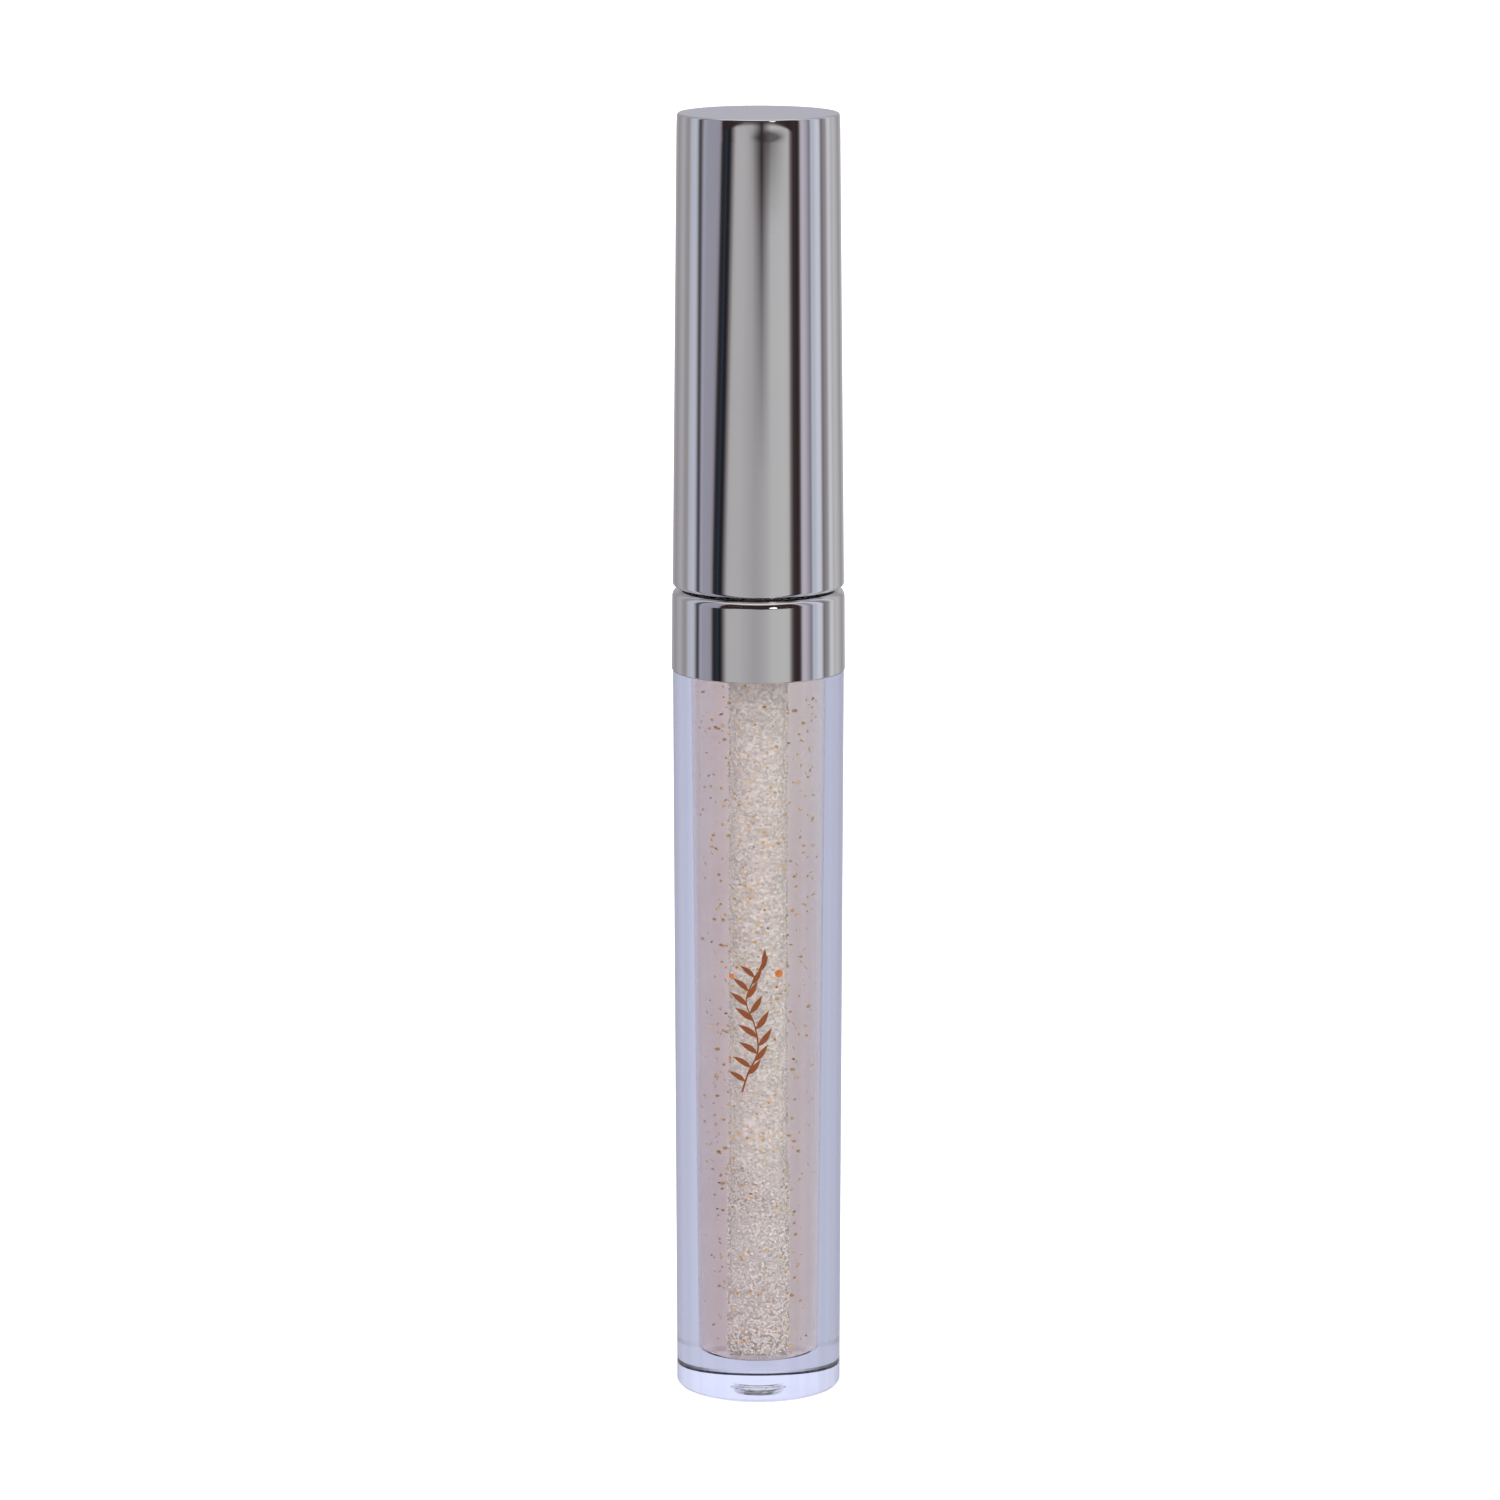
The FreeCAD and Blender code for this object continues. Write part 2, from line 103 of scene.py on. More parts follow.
def arithmetic(tree, operation, first, second=0.0, third=0.0):
    return addNode(tree, "ShaderNodeMath", {0: first, 1: second, 2: third},
                   operation=operation).outputs[0]


def product(tree, first, second):
    return arithmetic(tree, "MULTIPLY", first, second)


def blendColours(tree, share, first, second):
    return addNode(tree, "ShaderNodeMix", {0: share, 6: first, 7: second}, data_type="RGBA").outputs[2]


def twoTone(tree, share, look):
    return blendColours(tree, share, linearColour(look["colour"]), linearColour(look["second"]))


def bump(tree, surface, height, strength, depth):
    node = addNode(tree, "ShaderNodeBump", {
        "Height": height, "Strength": strength, "Distance": depth * mm})
    tree.links.new(node.outputs["Normal"], surface.inputs["Normal"])


def absorbThrough(tree, look):
    absorb = addNode(tree, "ShaderNodeVolumeAbsorption", {
        "Color": look["absorb"], "Density": look["density"]})
    tree.links.new(absorb.outputs["Volume"], tree.nodes["Material Output"].inputs["Volume"])


def outlinePoints(corners, arcSteps=8):
    # corners are (radius, height, round); each point comes back with its outward normal
    points = []
    count = len(corners)
    for index, corner in enumerate(corners):
        radius, height = corner[:2]
        amount = corner[2] if len(corner) > 2 else 0.0
        here = Vector((radius, height))
        before = Vector(corners[(index - 1) % count][:2])
        after = Vector(corners[(index + 1) % count][:2])
        inward = (here - before).normalized()
        outward = (after - here).normalized()
        turn = math.atan2(inward.x * outward.y - inward.y * outward.x, inward.dot(outward))
        startNormal = Vector((inward.y, -inward.x))
        endNormal = Vector((outward.y, -outward.x))
        if radius == 0:
            pole = startNormal if index else endNormal
            points.append((0.0, height, 0.0, math.copysign(1, pole.y)))
            continue
        if amount <= 0 or abs(turn) < limits["flatTurn"]:
            middle = (startNormal + endNormal).normalized()
            points.append((radius, height, middle.x, middle.y))
            continue
        back = min(amount * math.tan(abs(turn) / 2), (here - before).length * limits["runShare"],
                   (after - here).length * limits["runShare"])
        amount = back / math.tan(abs(turn) / 2)
        side = 1 if turn > 0 else -1
        start = here - inward * back
        centre = start - startNormal * amount * side
        for step in range(arcSteps + 1):
            angle = turn * step / arcSteps
            normal = Vector((
                startNormal.x * math.cos(angle) - startNormal.y * math.sin(angle),
                startNormal.x * math.sin(angle) + startNormal.y * math.cos(angle)))
            spot = centre + normal * amount * side
            points.append((spot.x, spot.y, normal.x, normal.y))
    return points


def splitLong(points, bottom, top, step):
    # adds points along the straight runs between two heights
    made = []
    for first, second in zip(points, points[1:] + points[:1]):
        made.append(first)
        length = math.hypot(second[0] - first[0], second[1] - first[1])
        inside = bottom <= min(first[1], second[1]) and max(first[1], second[1]) <= top
        if inside and length > step:
            pieces = math.ceil(length / step)
            for number in range(1, pieces):
                share = number / pieces
                made.append(tuple(a + (b - a) * share for a, b in zip(first, second)))
    return made


def newPiece(name, mesh):
    piece = bpy.data.objects.new(name, mesh)
    bpy.context.scene.collection.objects.link(piece)
    return piece


def newSolid(name, vertices, faces, slots, materials):
    mesh = bpy.data.meshes.new(name)
    mesh.from_pydata(vertices, [], faces)
    for material in materials:
        mesh.materials.append(material)
    mesh.polygons.foreach_set("material_index", slots)
    mesh.update()
    return newPiece(name, mesh)


def lathe(name, points, segments, materials, ring=False, swell=None, materialOf=None):
    # ring joins the last point to the first; otherwise both ends lie on the axis
    rows = []
    vertices = []
    normals = []
    for radius, height, across, up in points:
        if radius < limits["onAxis"]:
            rows.append([len(vertices)])
            vertices.append((0, 0, height * mm))
            normals.append((0, 0, math.copysign(1, up)))
            continue
        row = []
        for segment in range(segments):
            angle = math.tau * segment / segments
            cosine = math.cos(angle)
            sine = math.sin(angle)
            reach = radius
            normal = Vector((across * cosine, across * sine, up))
            if swell:
                reach, slopeRound, slopeUp = swell(angle, radius, height, across)
                normal = Vector((
                    across * cosine + across * slopeRound * sine,
                    across * sine - across * slopeRound * cosine,
                    up - across * slopeUp)).normalized()
            row.append(len(vertices))
            vertices.append((reach * cosine * mm, reach * sine * mm, height * mm))
            normals.append(tuple(normal))
        rows.append(row)
    faces = []
    slots = []
    pairs = list(zip(rows, rows[1:]))
    if ring:
        pairs.append((rows[-1], rows[0]))
    for number, (low, high) in enumerate(pairs):
        slot = materialOf(points[number], points[(number + 1) % len(points)]) if materialOf else 0
        for segment in range(segments):
            following = (segment + 1) % segments
            if len(low) == 1:
                faces.append((low[0], high[following], high[segment]))
            elif len(high) == 1:
                faces.append((low[segment], low[following], high[0]))
            else:
                faces.append((low[segment], low[following], high[following], high[segment]))
            slots.append(slot)
    piece = newSolid(name, vertices, faces, slots, materials)
    piece.data.polygons.foreach_set("use_smooth", [True] * len(faces))
    piece.data.normals_split_custom_set_from_vertices(normals)
    return piece


print("frame loaded, helpers ready")


# rimInside, gateOutside and satinTop bound the satin parts, and soft is the width of their edges
petgLook = {"clear": (1, 1, 1, 1), "absorb": (0.0, 0.09, 0.53, 1.0), "density": 34.0, "index": 1.57,
            "rimInside": 7.58, "gateOutside": 1.6, "satinTop": 0.26, "soft": 0.05, "satin": 0.3,
            "pebble": 0.4, "pebbleDepth": 0.16}


def makePetg():
    # thick injected PETG: glass clear, with the faint violet toner that shows only through depth;
    # the foot's edge and the gate well keep the mould's fine spark texture and look satin
    look = petgLook
    material, tree, surface = newMaterial(
        "injectedPetg", Transmission_Weight=1.0, IOR=look["index"], Roughness=0.0,
        Base_Color=look["clear"])
    place = placeInMillimetres(tree)
    parts = addNode(tree, "ShaderNodeSeparateXYZ", {"Vector": place})
    flat = addNode(tree, "ShaderNodeVectorMath", {0: place, 1: (1, 1, 0)}, operation="MULTIPLY")
    radius = addNode(tree, "ShaderNodeVectorMath", {0: flat.outputs["Vector"]},
                     operation="LENGTH").outputs["Value"]
    low = remap(tree, parts.outputs["Z"], look["satinTop"], look["satinTop"] + look["soft"], 1.0, 0.0)
    rim = remap(tree, radius, look["rimInside"], look["rimInside"] + look["soft"])
    gate = remap(tree, radius, look["gateOutside"], look["gateOutside"] + look["soft"], 1.0, 0.0)
    satin = product(tree, low, arithmetic(tree, "MAXIMUM", rim, gate))
    tree.links.new(product(tree, satin, look["satin"]), surface.inputs["Roughness"])
    well = product(tree, low, gate)
    pebbles = product(tree, noise(tree, place, look["pebble"]), well)
    bump(tree, surface, pebbles, 1.0, look["pebbleDepth"])
    absorbThrough(tree, look)
    return material


metalLook = {"colour": "#f0eff0", "second": "#eae9ec", "roughness": 0.022, "smear": 0.02,
             "coat": 0.25, "coatRoughness": 0.02, "wave": 9.0, "waveStrength": 0.5,
             "waveDepth": 0.0015, "grain": 0.35, "grainDetail": 3.0, "grainFrom": 0.3, "grainTo": 0.7}


def makeMetallised(name):
    # vacuum metallised ABS under clear lacquer: a mirror that is slightly smoky and not quite flat
    look = metalLook
    material, tree, surface = newMaterial(
        name, Metallic=1.0, Roughness=look["roughness"], Coat_Weight=look["coat"],
        Coat_Roughness=look["coatRoughness"])
    place = placeInMillimetres(tree)
    cloud = noise(tree, place, look["wave"])
    tree.links.new(twoTone(tree, cloud, look), surface.inputs["Base Color"])
    fine = noise(tree, place, look["grain"], look["grainDetail"])
    rough = remap(tree, fine, look["grainFrom"], look["grainTo"], look["roughness"],
                  look["roughness"] + look["smear"])
    tree.links.new(rough, surface.inputs["Roughness"])
    bump(tree, surface, cloud, look["waveStrength"], look["waveDepth"])
    return material


plainLook = {
    "mouldedAbs": {"colour": "#b9b8ba", "second": "#aeadb0", "roughness": 0.45, "grain": 0.6},
    "naturalPolypropylene": {"colour": "#e6e6e0", "second": "#dcdcd4", "roughness": 0.38, "grain": 0.8},
    "softPolyethylene": {"colour": "#ececE6", "second": "#e0e0da", "roughness": 0.32, "grain": 0.9},
    "polyethyleneFoam": {"colour": "#f1f1ee", "second": "#dddcd6", "roughness": 0.85, "grain": 0.12},
    "tipElastomer": {"colour": "#f7f7f2", "second": "#eeeee6", "roughness": 0.55, "grain": 0.4},
}
toolTexture = {"cloudTimes": 6, "detail": 3.0, "strength": 0.25, "depth": 0.02}


def makePlain(name):
    # moulded plastic: even colour with a slight cloud and a fine tool texture
    look = plainLook[name]
    material, tree, surface = newMaterial(name, Roughness=look["roughness"])
    place = placeInMillimetres(tree)
    cloud = noise(tree, place, look["grain"] * toolTexture["cloudTimes"])
    tree.links.new(twoTone(tree, cloud, look), surface.inputs["Base Color"])
    fine = noise(tree, place, look["grain"], toolTexture["detail"])
    bump(tree, surface, fine, toolTexture["strength"], toolTexture["depth"])
    return material


stemLook = {"colour": "#f5f2ec", "second": "#ebe7df", "cloud": 3.0, "roughness": 0.3, "pearlSize": 0.26,
            "bright": "#fafff4", "dark": "#b0b2a6", "gold": "#e6c98c", "goldFrom": 0.9, "goldTo": 0.93,
            "goldMost": 0.8, "wetTop": 77.0, "wetFade": 0.5, "wet": 0.75, "strength": 0.3, "depth": 0.03}


def makeStem():
    # white polypropylene rod; below the gloss line a film of pearl clings to it in bright and dull specks
    look = stemLook
    material, tree, surface = newMaterial("pearlFilmedPolypropylene", Roughness=look["roughness"])
    place = placeInMillimetres(tree)
    tone, chance, distance = randomCells(tree, place, look["pearlSize"])
    brightness = blendColours(tree, tone, linearColour(look["dark"]), linearColour(look["bright"]))
    goldShare = remap(tree, chance, look["goldFrom"], look["goldTo"], 0.0, look["goldMost"])
    specks = blendColours(tree, goldShare, brightness, linearColour(look["gold"]))
    plain = twoTone(tree, noise(tree, place, look["cloud"]), look)
    height = addNode(tree, "ShaderNodeSeparateXYZ", {"Vector": place}).outputs["Z"]
    wet = remap(tree, height, look["wetTop"], look["wetTop"] + look["wetFade"], look["wet"], 0.0)
    tree.links.new(blendColours(tree, wet, plain, specks), surface.inputs["Base Color"])
    bump(tree, surface, distance, look["strength"], look["depth"])
    return material


glossLook = {"index": 1.47, "rose": (0.755, 0.61, 0.57, 1.0), "pale": (0.85, 0.755, 0.655, 1.0),
             "absorb": (0.6, 0.25, 0.0, 1.0), "density": 16.0, "reach": 4.5, "paintedSideLightShare": 0.75,
             "level": 77.0, "levelShare": 0.25, "cloud": 7.0, "cloudFrom": 0.3, "cloudTo": 0.7,
             "cloudHalf": 0.25}


def makeGloss():
    # clear gloss: smooth and wet, with a rose tint that has settled in uneven clouds, and painted light
    # across it: paler on the right side, where the light is stronger, and rose on the shaded left
    look = glossLook
    material, tree, surface = newMaterial(
        "roseTintedGloss", Transmission_Weight=1.0, IOR=look["index"], Roughness=0.0)
    place = placeInMillimetres(tree)
    parts = addNode(tree, "ShaderNodeSeparateXYZ", {"Vector": place})
    # painted light and shade: the tint runs from rose on the shaded left side to pale on the lit right side
    across = remap(tree, parts.outputs["X"], -look["reach"], look["reach"], 0.0, look["paintedSideLightShare"])
    settled = remap(tree, parts.outputs["Z"], 0.0, look["level"], 0.0, look["levelShare"])
    cloud = remap(tree, noise(tree, place, look["cloud"]), look["cloudFrom"], look["cloudTo"],
                  -look["cloudHalf"], look["cloudHalf"])
    share = arithmetic(tree, "ADD", arithmetic(tree, "ADD", across, settled), cloud)
    tree.links.new(blendColours(tree, share, look["rose"], look["pale"]), surface.inputs["Base Color"])
    absorbThrough(tree, look)
    return material


flakeLook = {
    "goldFlake": {"colour": "#b88f45", "second": "#f8dc98", "roughness": 0.3, "metal": 0.08},
    "greenFlake": {"colour": "#4d5f57", "second": "#82928a", "roughness": 0.3, "metal": 0.1},
    "pearlFlake": {"colour": "#fafff4", "second": "#bcbeb0", "roughness": 0.25, "metal": 0.0},
    # the tip's pearl is a lighter copy of the pearl flake: painted light that offsets the shade the pearls
    # and flock cast on one another at the tip
    "tipPearlFlakeLitCopy": {"colour": "#fdfff8", "second": "#dfe0d4", "roughness": 0.25, "metal": 0.0},
}
flakeToneCell = 0.2


def makeFlake(name):
    # cut lacquered foil: each flake has its own tone, so some are bright and some dull
    look = flakeLook[name]
    material, tree, surface = newMaterial(
        name, Metallic=look["metal"], Roughness=look["roughness"])
    tone = randomCells(tree, placeInMillimetres(tree), flakeToneCell)[0]
    tree.links.new(twoTone(tree, tone, look), surface.inputs["Base Color"])
    return material


petg = makePetg()
metallisedCap = makeMetallised("metallisedAbsCap")
metallisedCollar = makeMetallised("metallisedAbsCollar")
bareAbs = makePlain("mouldedAbs")
polypropylene = makePlain("naturalPolypropylene")
polyethylene = makePlain("softPolyethylene")
foam = makePlain("polyethyleneFoam")
elastomer = makePlain("tipElastomer")
stemPlastic = makeStem()
gloss = makeGloss()
goldFoil = makeFlake("goldFlake")
greenFoil = makeFlake("greenFlake")
pearlFoil = makeFlake("pearlFlake")
tipFoilLitCopy = makeFlake("tipPearlFlakeLitCopy")
print("materials made")


bottle = {
    "floor": 3.3, "gate": 1.5, "gateDepth": 0.5, "base": 7.85, "shoulder": 8.10, "ledge": 69.96,
    "plug": 7.3, "plugTop": 76.36, "neck": 5.204, "rim": 86.8, "bore": 4.054, "foot": 3.554,
    "footCut": 0.25, "cutRound": 0.07, "gateRound": 0.15, "footRound": 0.5, "edge": 0.08,
    "neckEdge": 0.16, "segments": 288, "rowStep": 0.12,
    "ridge": 80.52, "lead": 3.0, "turns": 1.5, "ridgeHeight": 0.7, "crestHalf": 0.25,
    "flank": 0.5, "fade": 14.0, "aboveLedge": 1.0, "belowRim": 0.2, "facingOut": 0.5, "slopeStep": 0.02,
}


def ridgeHeight(angle, height):
    v = bottle
    best = 0.0
    for turn in range(math.ceil(v["turns"])):
        wound = angle / math.tau + turn
        if wound > v["turns"]:
            continue
        away = abs(height - v["ridge"] - v["lead"] * wound)
        rise = v["ridgeHeight"] - max(0.0, away - v["crestHalf"]) / v["flank"]
        fade = min(wound, v["turns"] - wound) * 360 / v["fade"]
        rise *= min(1.0, max(0.0, fade))
        best = max(best, rise)
    return max(0.0, best)


def neckSwell(angle, radius, height, across):
    v = bottle
    onNeck = v["plugTop"] + v["aboveLedge"] < height < v["rim"] - v["belowRim"]
    if not onNeck or across < v["facingOut"] or radius > v["plug"]:
        return radius, 0.0, 0.0
    small = v["slopeStep"]
    reach = radius + ridgeHeight(angle, height)
    slopeUp = (ridgeHeight(angle, height + small) - ridgeHeight(angle, height - small)) / (2 * small)
    slopeRound = (ridgeHeight(angle + small, height)
                  - ridgeHeight(angle - small, height)) / (2 * small * reach)
    return reach, slopeRound, slopeUp


def makeBottle():
    v = bottle
    points = outlinePoints([
        (0, v["gateDepth"]),
        (v["gate"], v["gateDepth"], v["gateRound"]),
        (v["gate"], 0, v["gateRound"]),
        (v["base"] - v["footCut"], 0, v["cutRound"]),
        (v["base"], v["footCut"], v["cutRound"]),
        (v["shoulder"], v["ledge"], v["edge"]),
        (v["plug"], v["ledge"], v["edge"]),
        (v["plug"], v["plugTop"], v["edge"]),
        (v["neck"], v["plugTop"], v["neckEdge"]),
        (v["neck"], v["rim"], v["neckEdge"]),
        (v["bore"], v["rim"], v["neckEdge"]),
        (v["bore"], v["plugTop"]),
        (v["foot"], v["floor"], v["footRound"]),
        (0, v["floor"]),
    ])
    # the last point is on the axis, so nothing is added after it
    fine = splitLong(points[:-1], v["plugTop"], v["rim"], v["rowStep"])
    piece = lathe("bottleBody", fine + [points[-1]], v["segments"], [petg], swell=neckSwell)
    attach(piece, "bottle_body")
    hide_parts("bottle")


makeBottle()
print("bottle made")


# the column reaches a little into the wall, so that light passes from plastic to gloss without air
column = {"floor": 3.28, "foot": 3.574, "bend": 76.36, "head": 4.074, "level": 77.0,
          "footRound": 0.5, "edge": 0.12, "segments": 192}


def makeColumn():
    v = column
    points = outlinePoints([
        (0, v["floor"]),
        (v["foot"], v["floor"], v["footRound"]),
        (v["head"], v["bend"]),
        (v["head"], v["level"], v["edge"]),
        (0, v["level"]),
    ])
    piece = lathe("glossColumn", points, v["segments"], [gloss])
    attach(piece, "bottle_body")
    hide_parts("gloss_fill")


makeColumn()
print("gloss made")


collar = {"bore": 7.32, "foot": 8.2, "head": 8.15, "bottom": 69.96, "top": 77.72, "mouth": 6.054,
          "plugTop": 76.36, "topRound": 0.8, "footRound": 0.07, "mouthRound": 0.15, "arcSteps": 12,
          "segments": 288, "bareInside": 7.5, "bareTop": 76.56}


def collarSlot(first, second):
    # the bore under the flange isn't metallised
    inside = max(first[0], second[0]) < collar["bareInside"]
    below = max(first[1], second[1]) < collar["bareTop"]
    return 1 if inside and below else 0


def makeCollar():
    v = collar
    points = outlinePoints([
        (v["bore"], v["bottom"], v["footRound"]),
        (v["foot"], v["bottom"], v["footRound"]),
        (v["head"], v["top"], v["topRound"]),
        (v["mouth"], v["top"], v["mouthRound"]),
        (v["mouth"], v["plugTop"], v["footRound"]),
        (v["bore"], v["plugTop"], v["footRound"]),
    ], v["arcSteps"])
    piece = lathe("collarSleeve", points, v["segments"], [metallisedCollar, bareAbs], True,
                  materialOf=collarSlot)
    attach(piece, "bottle_body")
    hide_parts("collar")


makeCollar()
print("collar made")


cap = {"roof": 121.27, "roofBore": 6.288, "roofRound": 0.3, "step": 89.4, "stepBore": 6.624,
       "discBore": 7.124, "bottom": 77.92, "footBore": 7.245, "foot": 8.095, "head": 7.625,
       "top": 122.47, "topRound": 0.4, "rimRound": 0.392, "bottomRound": 0.35, "edge": 0.08,
       "arcSteps": 12, "segments": 288, "crownFrom": 120.3, "crownLean": 0.036, "crownSteps": 8,
       "bareInside": 7.365, "bareTop": 121.32}


def capSlot(first, second):
    # the inside of the shell isn't metallised
    inner = max(first[0], second[0]) < cap["bareInside"]
    low = max(first[1], second[1]) < cap["bareTop"]
    return 1 if inner and low else 0


def makeCapShell():
    v = cap
    slope = (v["foot"] - v["head"]) / (v["top"] - v["bottom"])
    crown = []
    spread = v["top"] - v["topRound"] - v["crownFrom"]
    for step in range(v["crownSteps"] + 1):
        up = spread * step / v["crownSteps"]
        height = v["crownFrom"] + up
        radius = v["foot"] - slope * (height - v["bottom"]) - v["crownLean"] * up * up / (2 * spread)
        crown.append((radius, height, 0.0))
    lipRadius = v["head"] - v["crownLean"] * spread / 2 - v["crownLean"] * v["topRound"]
    points = outlinePoints([
        (0, v["roof"]),
        (v["roofBore"], v["roof"], v["roofRound"]),
        (v["stepBore"], v["step"], v["edge"]),
        (v["discBore"], v["step"], v["edge"]),
        (v["footBore"], v["bottom"], v["edge"]),
        (v["foot"], v["bottom"], v["bottomRound"]),
        *crown,
        (lipRadius, v["top"], v["rimRound"]),
        (0, v["top"]),
    ], v["arcSteps"])
    piece = lathe("capShell", points, v["segments"], [metallisedCap, bareAbs], materialOf=capSlot)
    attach(piece, "cap_body")
    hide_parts("cap_shell")


makeCapShell()
print("cap made")


# these nodes keep their own shape and get better materials
keptLooks = {"inner_cap": polypropylene, "wiper": polyethylene, "cap_gasket": foam,
             "wand_stem": stemPlastic, "applicator_core": elastomer}
for nodeName, material in keptLooks.items():
    nodes[nodeName].data.materials.clear()
    nodes[nodeName].data.materials.append(material)
print("inner pieces dressed")


socketKinds = {int: "Int", float: "Float", bpy.types.Material: "Material"}


def newTree(name, values, takesMesh=False):
    # one named input for each value, of the value's own kind
    tree = bpy.data.node_groups.new(name, "GeometryNodeTree")
    names = {}
    if takesMesh:
        tree.interface.new_socket(name="Geometry", in_out="INPUT", socket_type="NodeSocketGeometry")
    for label, value in values.items():
        names[label] = tree.interface.new_socket(
            name=label, in_out="INPUT", socket_type="NodeSocket" + socketKinds[type(value)]).identifier
    tree.interface.new_socket(name="Geometry", in_out="OUTPUT", socket_type="NodeSocketGeometry")
    return tree, names, addNode(tree, "NodeGroupInput").outputs


def randomFloat(tree, low, high, seed, step=0):
    own = arithmetic(tree, "ADD", seed, step) if step else seed
    return addNode(tree, "FunctionNodeRandomValue", {2: low, 3: high, 8: own},
                   data_type="FLOAT").outputs[1]


def leanAway(tree, along, amount, seed, step, spins):
    # points a thing along a direction, leans it both ways at random and may spin it
    aligned = addNode(tree, "FunctionNodeAlignRotationToVector", {"Vector": along}, axis="Z")
    lean = addNode(tree, "ShaderNodeCombineXYZ", {
        "X": product(tree, amount, randomFloat(tree, -1.0, 1.0, seed, step)),
        "Y": product(tree, amount, randomFloat(tree, -1.0, 1.0, seed, step + 1))})
    if spins:
        tree.links.new(randomFloat(tree, 0.0, math.tau, seed, step + 2), lean.inputs["Z"])
    euler = addNode(tree, "FunctionNodeEulerToRotation", {"Euler": lean.outputs[0]})
    turned = addNode(tree, "FunctionNodeRotateRotation", {
        "Rotation": aligned.outputs[0], "Rotate By": euler.outputs[0]}, rotation_space="LOCAL")
    return turned.outputs[0]


def placeCopies(tree, points, thing, rotation, scale, material):
    placed = addNode(tree, "GeometryNodeInstanceOnPoints", {
        "Points": points, "Instance": thing, "Rotation": rotation, "Scale": scale})
    real = addNode(tree, "GeometryNodeRealizeInstances", {"Geometry": placed.outputs[0]})
    dressed = addNode(tree, "GeometryNodeSetMaterial", {
        "Geometry": real.outputs[0], "Material": material})
    addNode(tree, "NodeGroupOutput", {"Geometry": dressed.outputs[0]})


def bakeNodes(name, tree, names, values, base=None):
    holder = newPiece(name + "Source", base or bpy.data.meshes.new(name + "Source"))
    modifier = holder.modifiers.new("nodes", "NODES")
    modifier.node_group = tree
    for socket, value in values.items():
        modifier[names[socket]] = value
    bpy.context.view_layer.update()
    graph = bpy.context.evaluated_depsgraph_get()
    mesh = bpy.data.meshes.new_from_object(holder.evaluated_get(graph), depsgraph=graph)
    holder.modifiers.remove(modifier)
    bpy.data.objects.remove(holder)
    mesh.name = name
    return newPiece(name, mesh)


def flakeTree(values):
    # flat flakes spread evenly through a tube-shaped space that may widen upwards
    tree, names, given = newTree("flakesInTheGloss", values)
    seed = given["Seed"]
    share = randomFloat(tree, 0.0, 1.0, seed)
    turn = randomFloat(tree, 0.0, math.tau, seed, 1)
    depth = randomFloat(tree, 0.0, 1.0, seed, 2)
    outer = remap(tree, share, 0.0, 1.0, given["Outer Foot"], given["Outer Head"])
    height = remap(tree, share, 0.0, 1.0, given["Bottom"], given["Top"])
    innerSquare = product(tree, given["Inner"], given["Inner"])
    outerSquare = product(tree, outer, outer)
    span = arithmetic(tree, "SUBTRACT", outerSquare, innerSquare)
    radius = arithmetic(tree, "SQRT", arithmetic(tree, "MULTIPLY_ADD", span, depth, innerSquare))
    across = product(tree, radius, arithmetic(tree, "COSINE", turn))
    along = product(tree, radius, arithmetic(tree, "SINE", turn))
    place = addNode(tree, "ShaderNodeCombineXYZ", {"X": across, "Y": along, "Z": height})
    facing = addNode(tree, "ShaderNodeCombineXYZ", {"X": across, "Y": along})
    cloud = addNode(tree, "GeometryNodePoints", {"Count": given["Count"], "Position": place.outputs[0]})
    turned = leanAway(tree, facing.outputs[0], given["Tilt"], seed, 3, True)
    size = randomFloat(tree, given["Small"], given["Large"], seed, 6)
    flake = addNode(tree, "GeometryNodeMeshCylinder", {
        "Vertices": given["Sides"], "Radius": 0.5, "Depth": given["Thickness"]}, fill_type="NGON")
    placeCopies(tree, cloud.outputs[0], flake.outputs["Mesh"], turned, size, given["Material"])
    return tree, names


# a flake takes its size from Small and Large, and Thickness is a share of that
foilCut = {"Sides": 6, "Inner": 2.3, "Outer Foot": 3.5, "Outer Head": 3.98, "Bottom": 3.6, "Top": 76.6,
           "Thickness": 0.1, "Tilt": 0.6}
pearlCut = {"Sides": 4, "Thickness": 0.1, "Tilt": 0.45}
flakes = {
    "goldFlakes": {**foilCut, "Count": 560, "Small": 0.24, "Large": 0.36, "Seed": 11,
                   "Material": goldFoil},
    "greenFlakes": {**foilCut, "Count": 30, "Small": 0.16, "Large": 0.24, "Seed": 37,
                    "Material": greenFoil},
    "pearlFlakes": {**pearlCut, "Count": 8300, "Inner": 1.8, "Outer Foot": 1.92, "Outer Head": 1.92,
                    "Bottom": 22.2, "Top": 76.8, "Small": 0.1, "Large": 0.27, "Seed": 53,
                    "Material": pearlFoil},
    # these flakes wear the lighter copy of the pearl colour, painted light against the shade at the tip
    "tipPearl": {**pearlCut, "Count": 9000, "Inner": 1.88, "Outer Foot": 2.0, "Outer Head": 2.0,
                 "Bottom": 3.8, "Top": 22.2, "Small": 0.12, "Large": 0.3, "Seed": 67,
                 "Material": tipFoilLitCopy},
    "settledPearl": {**pearlCut, "Count": 2200, "Inner": 0.1, "Outer Foot": 1.95, "Outer Head": 1.9,
                     "Bottom": 3.42, "Top": 4.3, "Small": 0.1, "Large": 0.26, "Tilt": 0.9, "Seed": 71,
                     "Material": pearlFoil},
}
lengthSockets = ("Inner", "Outer Foot", "Outer Head", "Bottom", "Top", "Small", "Large")


def makeFlakes():
    tree, names = flakeTree(flakes["goldFlakes"])
    for name, look in flakes.items():
        values = {key: value * mm if key in lengthSockets else value for key, value in look.items()}
        piece = bakeNodes(name, tree, names, values)
        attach(piece, "bottle_body")


makeFlakes()
print("flakes scattered")


